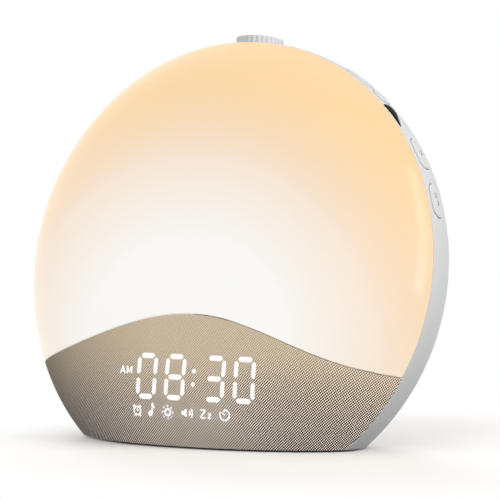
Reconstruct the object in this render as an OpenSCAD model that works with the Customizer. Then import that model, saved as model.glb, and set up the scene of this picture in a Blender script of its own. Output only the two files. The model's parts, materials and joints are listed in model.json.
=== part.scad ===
// Sunrise alarm clock: a round lamp face that leans back on a flat base, with a wave of speaker
// cloth and a lit display across its foot, keys and a sensor window round its rim, and a knob on top.
// Millimetres, +Z up. The origin is on the table, under the middle of the clock.

/* [Face] */
// Radius of the round face at its rim
face_r = 92; // [88:1:98]
// How far the face bulges forward at its centre
face_bulge = 26; // [24:1:29]
// Squareness of the bulge: higher is flatter, with a tighter edge
face_power = 5.9; // [5.4:0.1:6.6]
// Lean of the clock away from the viewer, in degrees
tilt = 10; // [8:1:12]
// How much of the round face the flat underside cuts off
base_cut = 23.4; // [20:0.2:25]
// Thickness of the opal diffuser
diffuser_wall = 2; // [1.6:0.1:2.4]

/* [Rear casing] */
// Radius of the round edge between the rim and the back
rear_round = 29.5; // [27:0.5:33]
// Distance behind the face at which the casing is widest
rear_swell = 5.5; // [4.5:0.5:6.5]
// How far the middle of the back stands out past its round edge
rear_crown = 5; // [3:1:8]
// Wall of the rear casing
shell_wall = 2.2; // [1.8:0.1:2.6]
// Fine gap between outer pieces
seam = 0.2; // [0.15:0.05:0.3]
// Depth of the lips that hold the front pieces in the rear casing
lip_depth = 4; // [3.5:0.1:4.2]
// Thickness of those lips
lip_wall = 1.8; // [1.4:0.1:2]

/* [Wave and cloth] */
// Height of the wave's two ends above the underside, up the face
wave_foot = 27.8; // [26:0.2:28.6]
// Rise of the wave from its ends to its crest
wave_rise = 19.4; // [17:0.2:20]
// Half the length of the wave
wave_half = 86; // [78:1:88]
// Thickness of the speaker cloth
cloth_wall = 0.7; // [0.5:0.1:0.9]
// Thickness of the perforated panel under the cloth
panel_wall = 2; // [1.6:0.1:2.4]
// Diameter of the panel's sound holes
sound_hole = 2; // [1.4:0.1:2.2]
// Spacing of the sound holes
sound_pitch = 3.6; // [3.4:0.1:4.4]

/* [Base] */
// Thickness of the rubber pad under the clock
pad_wall = 0.8; // [0.6:0.1:1.2]
// Distance of the pad's edge from the inside of the casing
pad_inset = 3; // [2:0.5:5]
// Thickness of the base plate
base_wall = 2.4; // [2:0.1:2.8]

/* [Inner frame and light] */
// Thickness of the inner frame plate
frame_wall = 2.2; // [1.8:0.1:2.6]
// Distance from the lips to the edge of the light board
light_inset = 8.8; // [8:0.2:14]
// Thickness of every circuit board
board_wall = 1.6; // [1.2:0.2:1.8]
// Width of one light-emitting diode
led_w = 5; // [3.5:0.5:5.5]
// Height of one light-emitting diode
led_h = 1.6; // [1.2:0.1:2]
// Spacing of the rings of diodes
led_ring = 21; // [19:1:22]
// Thickness of the reflector sheet
reflector_wall = 0.8; // [0.5:0.1:1]
// Height of the reflector's raised edge
reflector_h = 5; // [3:0.5:6]
// Thickness of the wall that keeps the lamp light off the cloth
baffle_wall = 1.6; // [1.2:0.1:1.8]

/* [Display] */
// Distance between the centre lines of a digit's upright segments
digit_w = 7.5; // [6.5:0.1:7.8]
// Distance between the centre lines of its top and bottom segments
digit_h = 16; // [14:0.5:16.5]
// Distance between the two digits of a pair
digit_pitch = 13.1; // [12:0.1:13.5]
// Distance between the centres of the two pairs
pair_pitch = 31; // [29:0.5:32]
// Width of a lit segment
segment_w = 1.8; // [1.4:0.1:2]
// Length cut off each end of a lit segment
segment_trim = 0.7; // [0.15:0.05:0.9]
// Slant of the digits, in degrees
digit_slant = 1.5; // [0:0.5:4]
// Middle of the clock digits across the face
digits_x = 5.1; // [3:0.1:6]
// Height of the digits' middle above the underside, up the face
digits_height = 22.1; // [21:0.1:22.6]
// Height of the small symbols' middle above the underside, up the face
icons_height = 8.4; // [8:0.1:9]
// Line width of the small symbols
icon_line = 0.5; // [0.4:0.05:0.6]
// Depth of the display module
module_depth = 8; // [6:0.5:9]

/* [Keys] */
// Length of a long key along the rim
key_len = 13.8; // [12:0.2:14.4]
// Length of the short key along the rim
short_key_len = 8.4; // [8:0.2:8.6]
// Width of the keys
key_w = 7.4; // [6.8:0.2:8]
// How far the keys stand out of the rim
key_proud = 0.45; // [0.3:0.05:0.8]
// Travel of a key
key_travel = 0.5; // [0.3:0.1:0.6]
// Gap round a key
key_gap = 0.25; // [0.2:0.05:0.35]
// Distance of the keys' middle behind the face
key_depth = 6; // [5.8:0.1:6.6]
// Radius of the post under a key
key_post_r = 1.4; // [1:0.1:1.5]

/* [Knob] */
// Radius of the knob
knob_r = 9.7; // [9:0.1:10]
// Height of the knob's top above the widest part of the casing
knob_rise = 2.9; // [2:0.1:4]
// Height of the knob
knob_h = 4.2; // [3.6:0.1:4.8]
// Number of ribs round the knob
knob_ribs = 28; // [20:1:36]
// Distance of the knob's axis behind the face
knob_depth = 10.8; // [10.6:0.1:12]
// Travel of the knob when it is pressed
knob_travel = 0.4; // [0.2:0.1:0.5]
// Radius of the encoder's shaft
shaft_r = 3; // [2.5:0.1:3]
// Clearance of a turning shaft in its bore
running_gap = 0.05; // [0.03:0.01:0.08]

/* [Speaker and boards] */
// Radius of the speaker's frame
speaker_r = 13.8; // [12.8:0.2:14]
// Distance from the speaker's frame to the lip round it
speaker_gap = 1.2; // [0.8:0.1:2.6]
// Height of the speaker's middle above the underside, up the face
speaker_height = 17.1; // [16.8:0.1:17.6]
// Width of the main board
main_w = 80; // [78:1:82]
// Height of the main board
main_h = 52; // [51:1:54]
// Radius of the backup cell
cell_r = 10; // [8:0.5:10]
// Width of the power socket's mouth
socket_w = 9; // [8.6:0.1:9.2]
// Height of the power socket's mouth
socket_h = 3.3; // [3.1:0.1:3.6]

/* [Hidden] */

smooth = 96;          // facets of the big round pieces
fine = 32;            // facets of the small round pieces
far = 250;            // larger than the clock
slack = 0.01;         // overlap that makes cuts clean

// Where the big levels lie. "Depth" is the distance behind the plane of the rim.
gap = 0.3;                                   // room between pieces that don't touch
base_top = pad_wall + base_wall;
face_height = face_r - base_cut;             // the face's centre above the underside
rim_z = pad_wall + face_height;
frame_front = -lip_depth;
frame_back = frame_front - frame_wall;
light_top = frame_front + board_wall;
inner_skin = cloth_wall + panel_wall;        // from the cloth's outside to the panel's inside
swell_r = rear_centre() + rear_round;        // largest radius of the casing

// ---- The law of the front bulge: t is the height in front of the rim's plane ----
function edge_share() = sqrt(1 + pow(face_r / (face_power * face_bulge), 2));
function dome_r(inset) = face_r - edge_share() * inset;
function dome_t(r, inset) = (face_bulge - inset) * (1 - pow(r / dome_r(inset), face_power));
function dome_pts(inset, n = 18) = [
    for (i = [0:n]) let (r = dome_r(inset) * cos(90 * i / n)) [r, dome_t(r, inset)]
];
function backwards(list) = [for (i = [len(list) - 1:-1:0]) list[i]];

// ---- The law of the rear casing: a round edge, then a gentle crown ----
function rear_centre() = face_r - sqrt(pow(rear_round, 2) - pow(rear_swell, 2));
function crown_at(r) = r > rear_centre() ? 0 : rear_crown * (0.5 + 0.5 * cos(180 * r / rear_centre()));
function rear_pts(inset, front, n = 14, m = 9) = let (
    turn = rear_round - inset,
    start = asin((front - rear_swell) / turn)
) concat(
    [for (i = [0:n]) let (a = start + (90 - start) * i / n)
        [rear_centre() + turn * cos(a), -rear_swell - turn * sin(a)]],
    [for (j = [1:m]) let (r = rear_centre() * (1 - j / m))
        [r, -rear_swell - turn - crown_at(r)]]
);
// Depth of the casing's surface, inset by a wall, at a radius from the axis
function rear_depth(r, inset) = rear_swell + crown_at(r)
    + (r > rear_centre() ? sqrt(pow(rear_round - inset, 2) - pow(r - rear_centre(), 2)) : rear_round - inset);
// Radius of the casing's surface, inset by a wall, at a depth
function rear_r(depth, inset) = rear_centre() + sqrt(pow(rear_round - inset, 2) - pow(depth - rear_swell, 2));

// ---- The wave between diffuser and cloth ----
wave_low = wave_foot - face_height;
function wave(x) = wave_low + (abs(x) < wave_half ? wave_rise * (0.5 + 0.5 * cos(180 * x / wave_half)) : 0);
wave_step = 4;
wave_end = face_r + 8;                       // past the rim on both sides

// The clock stands so that its outline is centred on the origin.
front_y = min([for (p = dome_pts(0)) -p[0] * sin(tilt) - p[1] * cos(tilt)]);
back_y = max([for (p = rear_pts(0, seam)) p[0] * sin(tilt) - p[1] * cos(tilt)]);
rim_y = -(front_y + back_y) / 2;

// ---- Frames of reference ----
// Children use x across the face, y up the face and z out of the face.
module on_face() translate([0, rim_y, rim_z]) rotate([90 - tilt, 0, 0]) children();
// Inside on_face(): y points out of the rim at an angle clockwise from the top.
module at_rim(angle) rotate([0, 0, -angle]) children();
module above(z) intersection() {
    children();
    translate([-far, -far, z]) cube([2 * far, 2 * far, 2 * far]);
}

// ---- Shared solids, in the frame of the face ----
module dome_solid(inset, floor_t) rotate_extrude($fn = smooth)
    polygon(concat([[0, floor_t], [dome_r(inset), floor_t]], dome_pts(inset)));
module dome_shell(outer, inner) rotate_extrude($fn = smooth)
    polygon(concat(dome_pts(outer), backwards(dome_pts(inner))));
module rear_solid(inset, front) rotate_extrude($fn = smooth)
    polygon(concat(rear_pts(inset, front), [[0, -front]]));
module tube(outer, inner, from, to) translate([0, 0, from]) difference() {
    cylinder(r = outer, h = to - from, $fn = smooth);
    translate([0, 0, -slack]) cylinder(r = inner, h = to - from + 2 * slack, $fn = smooth);
}
// All that lies over the wave, or under it, by a distance
module over_wave(by, from, to) translate([0, 0, from]) linear_extrude(to - from)
    polygon(concat([for (x = [-wave_end:wave_step:wave_end]) [x, wave(x) + by]], [[far, far], [-far, far]]));
module under_wave(by, from, to) translate([0, 0, from]) linear_extrude(to - from)
    polygon(concat([for (x = [-wave_end:wave_step:wave_end]) [x, wave(x) - by]], [[far, -far], [-far, -far]]));
module post(x, up, r, from, to) translate([x, up, min(from, to)])
    cylinder(r = r, h = abs(to - from), $fn = fine);
module block(x, up, size, from, to) translate([x - size[0] / 2, up - size[1] / 2, min(from, to)])
    cube([size[0], size[1], abs(to - from)]);

// ---- Main board's middle, above the underside and from the face's centre ----
main_height = 54.6;
main_up = main_height - face_height;

// ---- Rim layout ----
// Places along the rim, clockwise from its top
key_places = [52.5, 65.2, 94.7, 115];
window_place = 73.4;
function rim_angle(place) = place / face_r * 180 / PI;
key_angles = [for (p = key_places) rim_angle(p)];
key_lengths = [key_len, short_key_len, key_len, key_len];
key_flange = 1.2;                            // how far a key's side tabs reach past its hole
key_flange_r = rear_r(key_depth, shell_wall) - 2.6;
bay_from = key_angles[0] - 8;
bay_to = key_angles[3] + 8;
bay_r = key_flange_r - 8.5;                  // the inner frame stops here behind the keys
switch_size = [6, 4.6, 6.4];                 // across, radial, out of the board
key_board_front = -key_depth - switch_size[2] / 2;
switch_top = key_flange_r - 2.4;
switch_floor = switch_top - 2.3;
key_post_end = switch_floor + 1.1;
dome_wall = 0.3;
key_board_r = [key_flange_r - 14.3, key_flange_r - key_travel - gap];

module pill_2d(length, width) {
    square([length - width, width], center = true);
    for (s = [-1, 1]) translate([s * (length - width) / 2, 0]) circle(d = width, $fn = fine);
}
// A prism that stands out of the rim, between two radii
module rim_prism(from_r, to_r, depth) translate([0, from_r, -depth]) rotate([-90, 0, 0])
    linear_extrude(to_r - from_r) children();
module bay() linear_extrude(far, center = true) polygon(concat(
    [for (a = [bay_from:(bay_to - bay_from) / 12:bay_to + slack]) [far * sin(a), far * cos(a)]],
    [for (a = [bay_to:-(bay_to - bay_from) / 12:bay_from - slack]) [bay_r * sin(a), bay_r * cos(a)]]
));

// ---- Sensor window: a drop-shaped pane ----
window_angle = rim_angle(window_place);
window_depth = 3.9;
window_r = 2.9;
window_tip_r = 0.45;
window_run = 8.4;                            // from the round end's centre to the tip's
window_lean = -16;
window_stem_r = 1.3;
module drop_2d(grow) rotate(window_lean) {
    turn = acos((window_r - window_tip_r) / window_run);
    polygon(concat(
        [for (i = [0:24]) let (a = turn + (360 - 2 * turn) * i / 24) (window_r + grow) * [cos(a), sin(a)]],
        [for (i = [0:6]) let (a = -turn + 2 * turn * i / 6)
            [window_run, 0] + (window_tip_r + grow) * [cos(a), sin(a)]]
    ));
}

// ---- Knob and encoder, along y at x = 0 and z = -knob_depth ----
knob_top = swell_r + knob_rise;
knob_bottom = knob_top - knob_h;
well_floor = knob_bottom - knob_travel - gap;
well_r = knob_r + 0.4;
turret_r = well_r + 1.1;
turret_top = well_floor + 1.2;
turret_wall = 2.4;
turret_bottom = well_floor - turret_wall;
hub_r = shaft_r + 1.6;
hub_hole_r = hub_r + 0.4;
knob_skin = 1.6;
shaft_top = knob_top - knob_skin - 0.4;
encoder_w = 12.4;
encoder_h = 6.4;
hub_bottom = turret_bottom - 0.6;
encoder_top = hub_bottom - knob_travel - gap;
encoder_bottom = encoder_top - encoder_h;
slider_r = 4.4;
slider_h = 2.2;
pin_r = shaft_r / 2;
cavity_top = encoder_top - 2;
cavity_bottom = encoder_bottom + 1;
slider_top = cavity_top - gap;
slider_bottom = slider_top - slider_h;
encoder_screw_x = encoder_w / 2 + 3.1;
encoder_board_w = 2 * encoder_screw_x + 6;
encoder_board_d = 2 * (knob_depth - lip_depth - 0.5);
// A round bar along the knob's axis
module knob_bar(r, from, to, n = fine) translate([0, from, -knob_depth]) rotate([-90, 0, 0])
    cylinder(r = r, h = to - from, $fn = n);
module knob_bay() translate([-encoder_board_w / 2 - gap, encoder_bottom - 4, -far])
    cube([encoder_board_w + 2 * gap, far, 2 * far]);

// ---- Posts and screws ----
post_r = 3.4;
screw_r = 1.5;
pilot_r = screw_r + 0.02;
screw_hole_r = 1.8;
head_r = 2.8;
head_h = 1.8;
head_gap = 0.3;                              // round a screw's head in its counterbore
housing_post_r = head_r + 1.6;
housing_post_radius = rear_centre() + 5;
housing_posts = [for (a = [-50, 50, -112, 112]) housing_post_radius * [sin(a), cos(a)]];
frame_post_end = frame_back - 8;             // where the frame's posts meet the casing's
post_web = 2;                                // plastic under a screw's head
lip_posts = [for (a = [-62, -20, 20, -100, 100]) (dome_r(diffuser_wall) - 6.4) * [sin(a), cos(a)]];
lip_post_r = 2.8;

// Radius of the lip's outside, which clears the casing's inside
lip_r = rear_r(seam, shell_wall) - 0.25;
light_r = lip_r - lip_wall - light_inset;
speaker_up = speaker_height - face_height;
speaker_x = sqrt(pow(lip_r - lip_wall - speaker_gap - speaker_r, 2) - pow(speaker_up, 2));
// The grille panel's posts stand beside the speaker
panel_post_radius = dome_r(inner_skin) - 5.4;
panel_post_gap = 1.8;
panel_post_angle = atan2(speaker_x, speaker_up)
    - turn_between(norm([speaker_x, speaker_up]), panel_post_radius, speaker_r + lip_post_r + panel_post_gap);
panel_posts = [for (s = [-1, 1]) panel_post_radius * [s * sin(panel_post_angle), cos(panel_post_angle)]];
// Angle at the centre between two points at radii a and b that lie d apart
function turn_between(a, b, d) = acos((a * a + b * b - d * d) / (2 * a * b));

module lip(from_top) difference() {
    tube(lip_r, lip_r - lip_wall, frame_front, from_top);
    bay();
    knob_bay();
}
// Screw along z: its head lies on "seat" and its shank runs to "tip"
module screw(x, up, seat, tip) {
    up_way = tip > seat;
    post(x, up, screw_r, seat, tip);
    post(x, up, head_r, seat, up_way ? seat - head_h : seat + head_h);
}

// ======== Casing ========
module rear_housing() color("whitesmoke") above(pad_wall) on_face() {
    difference() {
        union() {
            difference() {
                rear_shell();
                for (i = [0:3]) at_rim(key_angles[i]) rim_prism(face_r - 12, face_r + 12, key_depth)
                    pill_2d(key_lengths[i] + 2 * key_gap, key_w + 2 * key_gap);
                at_rim(window_angle) rim_prism(face_r - 12, face_r + 12, window_depth) drop_2d(0.1);
            }
            turret();
        }
        knob_bar(well_r, well_floor, far, smooth);
        knob_bar(hub_hole_r, turret_bottom - slack, far);
    }
    housing_bosses();
    power_bosses();
}
module rear_shell() difference() {
    rotate_extrude($fn = smooth) polygon(concat(rear_pts(0, seam), backwards(rear_pts(shell_wall, seam))));
    for (p = housing_posts) post(p[0], p[1], head_r + head_gap, frame_post_end, -far);
    // Mouth of the power socket, and the vents
    translate([0, power_up, -far / 2]) linear_extrude(far, center = true)
        pill_2d(socket_w + 1.6, socket_h + 1.6);
    for (i = [-vent_count:vent_count]) translate([i * vent_pitch, vent_up, -far / 2 - 20])
        linear_extrude(far, center = true) rotate(90) pill_2d(vent_len, vent_w);
}
// Turret round the knob's well, and the bosses that carry the encoder's board
module turret() difference() {
    intersection() {
        union() {
            knob_bar(turret_r, turret_bottom, turret_top, smooth);
            for (s = [-1, 1]) encoder_boss(s, 2.6, 1);
        }
        translate([-far, -far, -far]) cube([2 * far, 2 * far, far - seam]);
    }
    for (s = [-1, 1]) encoder_boss(s, pilot_r, -1);
}
module encoder_boss(side, r, past)
    translate([side * encoder_screw_x, encoder_bottom - (past < 0 ? slack : 0), -knob_depth])
        rotate([-90, 0, 0]) cylinder(r = r, h = turret_bottom - encoder_bottom + past, $fn = fine);
module housing_bosses() for (p = housing_posts) difference() {
    intersection() {
        post(p[0], p[1], housing_post_r, frame_post_end, -far);
        rear_solid(0, seam);
    }
    post(p[0], p[1], screw_hole_r, frame_post_end + slack, -far);
    post(p[0], p[1], head_r + head_gap, frame_post_end - post_web, -far);
}
module power_bosses() for (s = [-1, 1]) difference() {
    intersection() {
        post(s * power_screw_x, power_up, 2.6, power_seat, -far);
        rear_solid(shell_wall / 2, seam);
    }
    post(s * power_screw_x, power_up, pilot_r, power_seat + slack, power_seat - 5);
}
vent_count = 4;
vent_pitch = 5.5;
vent_w = 2.2;
vent_len = 20;
vent_up = 22;

// What fills the inside of the casing, shrunk by a distance
module inside(by) {
    dome_solid(inner_skin + by, -1);
    rear_solid(shell_wall + by, 0.5);
}
base_gap = 0.25;
base_post_x = 32;
base_post_back = 4.6;                        // behind the frame's back face, on the base
base_post_top = base_top + 9;
base_post_y = rim_y - (rim_z - base_top) * tan(tilt) + (-frame_back + base_post_back) / cos(tilt);
module base_plate() color("gainsboro") difference() {
    intersection() {
        on_face() union() inside(base_gap);
        translate([-far, -far, pad_wall]) cube([2 * far, 2 * far, base_wall]);
    }
    for (s = [-1, 1]) translate([s * base_post_x, base_post_y, 0]) {
        cylinder(r = screw_hole_r, h = base_top + 1, $fn = fine);
        cylinder(r = head_r + head_gap, h = pad_wall + head_h, $fn = fine);
    }
}
module base_pad() color("dimgray") intersection() {
    on_face() union() inside(pad_inset);
    translate([-far, -far, 0]) cube([2 * far, 2 * far, pad_wall]);
}

// ======== Front ========
module diffuser() color("moccasin") on_face() difference() {
    intersection() {
        union() {
            dome_shell(0, diffuser_wall);
            lip(1.5);
            intersection() {
                for (p = lip_posts) post(p[0], p[1], lip_post_r, frame_front, far);
                dome_solid(diffuser_wall / 2, frame_front);
            }
        }
        over_wave(seam, -far / 2, far);
    }
    for (p = lip_posts) post(p[0], p[1], pilot_r, frame_front - slack, frame_front + 7);
}
module grille_panel() color("darkkhaki") above(pad_wall) on_face() difference() {
    intersection() {
        union() {
            dome_shell(cloth_wall, inner_skin);
            above_base() lip(1);
            intersection() {
                union() {
                    for (p = panel_posts) post(p[0], p[1], lip_post_r, frame_front, far);
                    // Tunnel from the speaker to the cloth
                    translate([speaker_x, speaker_up, 0])
                        tube(speaker_r - 0.5, speaker_r - 2, gasket_top, far);
                }
                dome_solid(cloth_wall + panel_wall / 2, frame_front);
            }
        }
        under_wave(seam, -far / 2, far);
    }
    for (p = panel_posts) post(p[0], p[1], pilot_r, frame_front - slack, frame_front + 7);
    translate([window_mid_x, window_mid_up, 0]) linear_extrude(far) square(window_size, center = true);
    // Sound holes in front of the speaker
    for (i = [-4:4], j = [-4:4]) let (
        x = sound_pitch * (i + (j % 2 == 0 ? 0 : 0.5)),
        y = sound_pitch * j * sqrt(3) / 2
    ) if (norm([x, y]) < speaker_r - 3.2) post(speaker_x + x, speaker_up + y, sound_hole / 2, 2, far);
}
// Part of the face's frame that clears the base plate: children in that frame, cut in the table's
module above_base() intersection() {
    children();
    rotate([tilt - 90, 0, 0]) translate([-far, -far, base_top + gap - rim_z])
        cube([2 * far, 2 * far, 2 * far]);
}
module grille_cloth() color("tan") above(pad_wall) on_face() difference() {
    intersection() {
        dome_shell(0, cloth_wall);
        under_wave(seam, -1, far);
    }
    linear_extrude(far) display_2d(pipe_gap);
    linear_extrude(far) icons_2d(pipe_gap);
}

// ======== Light ========
module inner_frame() color("white") union() {
    on_face() difference() {
        above_base() difference() {
            union() {
                translate([0, 0, frame_back])
                    cylinder(r = rear_r(lip_depth, shell_wall) - 2 * gap, h = frame_wall, $fn = smooth);
                for (p = housing_posts) post(p[0], p[1], post_r, frame_front, frame_post_end);
                for (p = display_posts) post(p[0], p[1], 2.8, frame_back, display_back);
                for (p = main_posts) post(p[0], p[1], 2.8, frame_front, main_front);
                for (a = key_board_screw_angles) at_rim(a)
                    post(0, key_board_screw_r, 2.4, frame_front, key_board_front);
            }
            bay();
            knob_bay();
            post(speaker_x, speaker_up, speaker_r - 1.6, far, -far);
        }
        for (p = housing_posts) post(p[0], p[1], pilot_r, frame_post_end - slack, frame_back - 1);
        for (p = concat(lip_posts, panel_posts)) post(p[0], p[1], screw_hole_r, 0, -far);
        for (i = [0, 1]) post(display_posts[i][0], display_posts[i][1], pilot_r, display_back + slack, 0);
        for (p = main_posts) post(p[0], p[1], pilot_r, main_front - slack, frame_back);
        for (a = key_board_screw_angles) at_rim(a)
            post(0, key_board_screw_r, pilot_r, key_board_front - slack, frame_front - 1);
        // Slots for the ribbons
        for (p = [display_ribbon_place, light_ribbon_place])
            block(p[0], p[1], [ribbon_w + 3, ribbon_wall + 3], 0, -far / 4);
    }
    // Feet that take the base screws
    for (s = [-1, 1]) difference() {
        translate([s * base_post_x, base_post_y, base_top]) {
            cylinder(r = post_r, h = base_post_top - base_top, $fn = fine);
            translate([-1, -base_post_back - 1, 1]) cube([2, base_post_back, base_post_top - base_top - 1]);
        }
        translate([s * base_post_x, base_post_y, base_top - slack]) cylinder(r = pilot_r, h = 8, $fn = fine);
    }
}
light_margin = 3;                            // from the baffle to the light board
module light_area(r, by, from, to) intersection() {
    translate([0, 0, from]) cylinder(r = r, h = to - from, $fn = smooth);
    over_wave(by, from - 1, to + 1);
}
light_by = seam + light_margin;
module light_board() color("snow") on_face() light_area(light_r, light_by, frame_front, light_top);
led_places = concat([[0, 0]], [
    for (k = [1:3], i = [0:6 * k - 1]) let (a = 360 * i / (6 * k), p = k * led_ring * [sin(a), cos(a)])
        if (p[1] > wave(p[0]) + light_by + led_w) p
]);
module light_diodes() color("lightyellow") on_face()
    for (p = led_places) block(p[0], p[1], [led_w, led_w], light_top, light_top + led_h);
module reflector() color("white") on_face() difference() {
    union() {
        light_area(light_r, light_by, light_top, light_top + reflector_wall);
        difference() {
            light_area(light_r, light_by, light_top, light_top + reflector_h);
            light_area(light_r - reflector_wall, light_by + reflector_wall, light_top - 1,
                light_top + reflector_h + 1);
        }
    }
    for (p = led_places) block(p[0], p[1], [led_w + 2 * gap, led_w + 2 * gap], light_top - 1, light_top + 5);
}
// Wall under the wave, which turns up round the speaker where the two meet
module light_baffle() color("white") on_face() intersection() {
    dome_solid(inner_skin + gap, frame_front);
    difference() {
        union() {
            under_wave(seam, frame_front, far);
            post(speaker_x, speaker_up, speaker_r + gap + baffle_wall, frame_front, far);
        }
        under_wave(seam + baffle_wall, frame_front - 1, far + 1);
        post(speaker_x, speaker_up, speaker_r + gap, frame_front - 1, far + 1);
    }
    translate([0, 0, -far]) cylinder(r = lip_r - lip_wall - gap, h = 2 * far, $fn = smooth);
}

// ======== Display ========
digits_up = digits_height - face_height;
icons_up = icons_height - face_height;
pipe_gap = 0.05;                             // round a light pipe in the cloth and its case
pipe_back = 12;                              // where the light pipes start
case_size = [65, 29];
window_mid_x = 0.6;
window_mid_up = digits_up - 4.7;
window_size = [64, 28];
case_front = dome_t(norm([window_size[0] / 2, window_mid_up - window_size[1] / 2]), inner_skin) - 2;
case_back = case_front - module_depth;
display_back = case_back - board_wall;
display_board_size = [66, 35.3];
display_board_up = digits_up - 2.1;
display_posts = [for (up = [15, -13.4], x = [-26, 26]) [x, display_board_up + up]];
ribbon_w = 12;
ribbon_wall = 0.3;
display_ribbon_place = [0, display_board_up + 12.6];
light_ribbon_place = [18, main_up + 14];

// A bar between two points, with square ends
module bar(a, b, w) let (d = b - a) translate(a) rotate(atan2(d[1], d[0]))
    translate([0, -w / 2]) square([norm(d), w]);
module ring_2d(r, w) difference() {
    circle(r = r + w / 2, $fn = fine);
    circle(r = r - w / 2, $fn = fine);
}
// One segment: a six-cornered bar along x, centred on the origin
module segment_2d(length, grow) let (h = segment_w / 2 + grow, l = length / 2 - segment_trim + grow)
    polygon([[-l, 0], [h - l, h], [l - h, h], [l, 0], [l - h, -h], [h - l, -h]]);
// Lit segments by digit: top, upper right, lower right, bottom, lower left, upper left, middle
lit = [
    [1, 1, 1, 1, 1, 1, 0], [0, 1, 1, 0, 0, 0, 0], [1, 1, 0, 1, 1, 0, 1], [1, 1, 1, 1, 0, 0, 1],
    [0, 1, 1, 0, 0, 1, 1], [1, 0, 1, 1, 0, 1, 1], [1, 0, 1, 1, 1, 1, 1], [1, 1, 1, 0, 0, 0, 0],
    [1, 1, 1, 1, 1, 1, 1], [1, 1, 1, 1, 0, 1, 1],
];
module digit_2d(value, grow) {
    w = digit_w / 2;
    h = digit_h / 2;
    places = [
        [0, h, 0], [w, h / 2, 90], [w, -h / 2, 90], [0, -h, 0], [-w, -h / 2, 90], [-w, h / 2, 90], [0, 0, 0],
    ];
    for (i = [0:6]) if (lit[value][i] == 1) translate([places[i][0], places[i][1]]) rotate(places[i][2])
        segment_2d(i % 3 == 0 ? digit_w : digit_h / 2, grow);
}
time_shown = [0, 8, 3, 0];
colon_r = 0.85;
colon_up = 2.6;
module display_2d(grow) translate([digits_x, digits_up])
    multmatrix([[1, tan(digit_slant), 0, 0], [0, 1, 0, 0], [0, 0, 1, 0], [0, 0, 0, 1]]) {
        for (i = [0:3]) translate([(i < 2 ? -1 : 1) * pair_pitch / 2 + (i % 2 - 0.5) * digit_pitch, 0])
            digit_2d(time_shown[i], grow);
        for (s = [-1, 1]) translate([-0.5, s * colon_up]) circle(r = colon_r + grow, $fn = fine);
    }
module letter_a(w, h, line) {
    bar([-w / 2, 0], [0, h], line);
    bar([w / 2, 0], [0, h], line);
    bar([-w / 4, h * 0.3], [w / 4, h * 0.3], line);
}
module letter_m(w, h, line) {
    for (s = [-1, 1]) {
        bar([s * w / 2, 0], [s * w / 2, h], line);
        bar([s * w / 2, h], [0, h * 0.25], line);
    }
}
module letter_z(w, h, line) {
    bar([-w / 2, h], [w / 2, h], line);
    bar([w / 2, h], [-w / 2, 0], line);
    bar([-w / 2, 0], [w / 2, 0], line);
}
module alarm_icon(line) {
    ring_2d(1.75, line);
    bar([0, 0], [0, 1.1], line);
    bar([0, 0], [0.8, 0], line);
    for (s = [-1, 1]) {
        bar([s * 1.1, 2.35], [s * 2.1, 1.6], line);
        bar([s * 1.2, -1.5], [s * 1.7, -2.2], line);
    }
}
module note_icon(line) {
    translate([-0.7, -1.7]) circle(r = 0.75 + line / 4, $fn = fine);
    bar([-0.1, -1.7], [-0.1, 2.3], line);
    bar([-0.1, 2.3], [1.3, 0.7], line);
}
module sun_icon(line) {
    ring_2d(1.1, line);
    for (a = [0:45:315]) rotate(a) bar([1.8, 0], [2.6, 0], line);
}
module sound_icon(line) {
    polygon([[-2.4, -0.7], [-1.4, -0.7], [0, -1.8], [0, 1.8], [-1.4, 0.7], [-2.4, 0.7]] * (1 + line / 20));
    bar([0.9, -0.8], [0.9, 0.8], line);
    bar([1.9, -1.5], [1.9, 1.5], line);
}
module snooze_icon(line) {
    translate([-1.3, -1.6]) letter_z(2.4, 3.2, line);
    translate([1.7, -1.6]) letter_z(1.3, 1.7, line);
}
module timer_icon(line) {
    difference() {
        ring_2d(2, line);
        polygon([[0, 0], [-4, 4], [-4, 0.6]]);
    }
    bar([0, 0], [1.1, 1.1], line);
    bar([0, 0], [0, 1.2], line);
}
icon_xs = [-21.2, -14.4, -6.7, 2.1, 10.6, 18.8];
am_place = [digits_x - 31.8, digits_up + 0.5];
module icons_2d(grow) {
    line = icon_line + 2 * grow;
    translate([am_place[0] - 1.6, am_place[1]]) letter_a(2.6, 3.3, line);
    translate([am_place[0] + 1.9, am_place[1]]) letter_m(2.5, 3.3, line);
    translate([icon_xs[0], icons_up]) alarm_icon(line);
    translate([icon_xs[1], icons_up]) note_icon(line);
    translate([icon_xs[2], icons_up]) sun_icon(line);
    translate([icon_xs[3], icons_up]) sound_icon(line);
    translate([icon_xs[4], icons_up]) snooze_icon(line);
    translate([icon_xs[5], icons_up]) timer_icon(line);
}
module light_pipes() on_face() intersection() {
    translate([0, 0, pipe_back]) linear_extrude(far) children();
    dome_solid(0, 0);
}
module display_digits() color("white") light_pipes() display_2d(0);
module display_icons() color("white") light_pipes() icons_2d(0);
module display_case() color([0.12, 0.12, 0.12]) on_face() difference() {
    block(window_mid_x, window_mid_up, case_size, case_back, case_front);
    translate([0, 0, pipe_back - slack]) linear_extrude(far) display_2d(pipe_gap);
    translate([0, 0, pipe_back - slack]) linear_extrude(far) icons_2d(pipe_gap);
}
module display_board() color("darkgreen") on_face() difference() {
    block(0, display_board_up, display_board_size, display_back, case_back);
    for (i = [0, 1]) post(display_posts[i][0], display_posts[i][1], screw_hole_r, -far, far);
}

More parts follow.
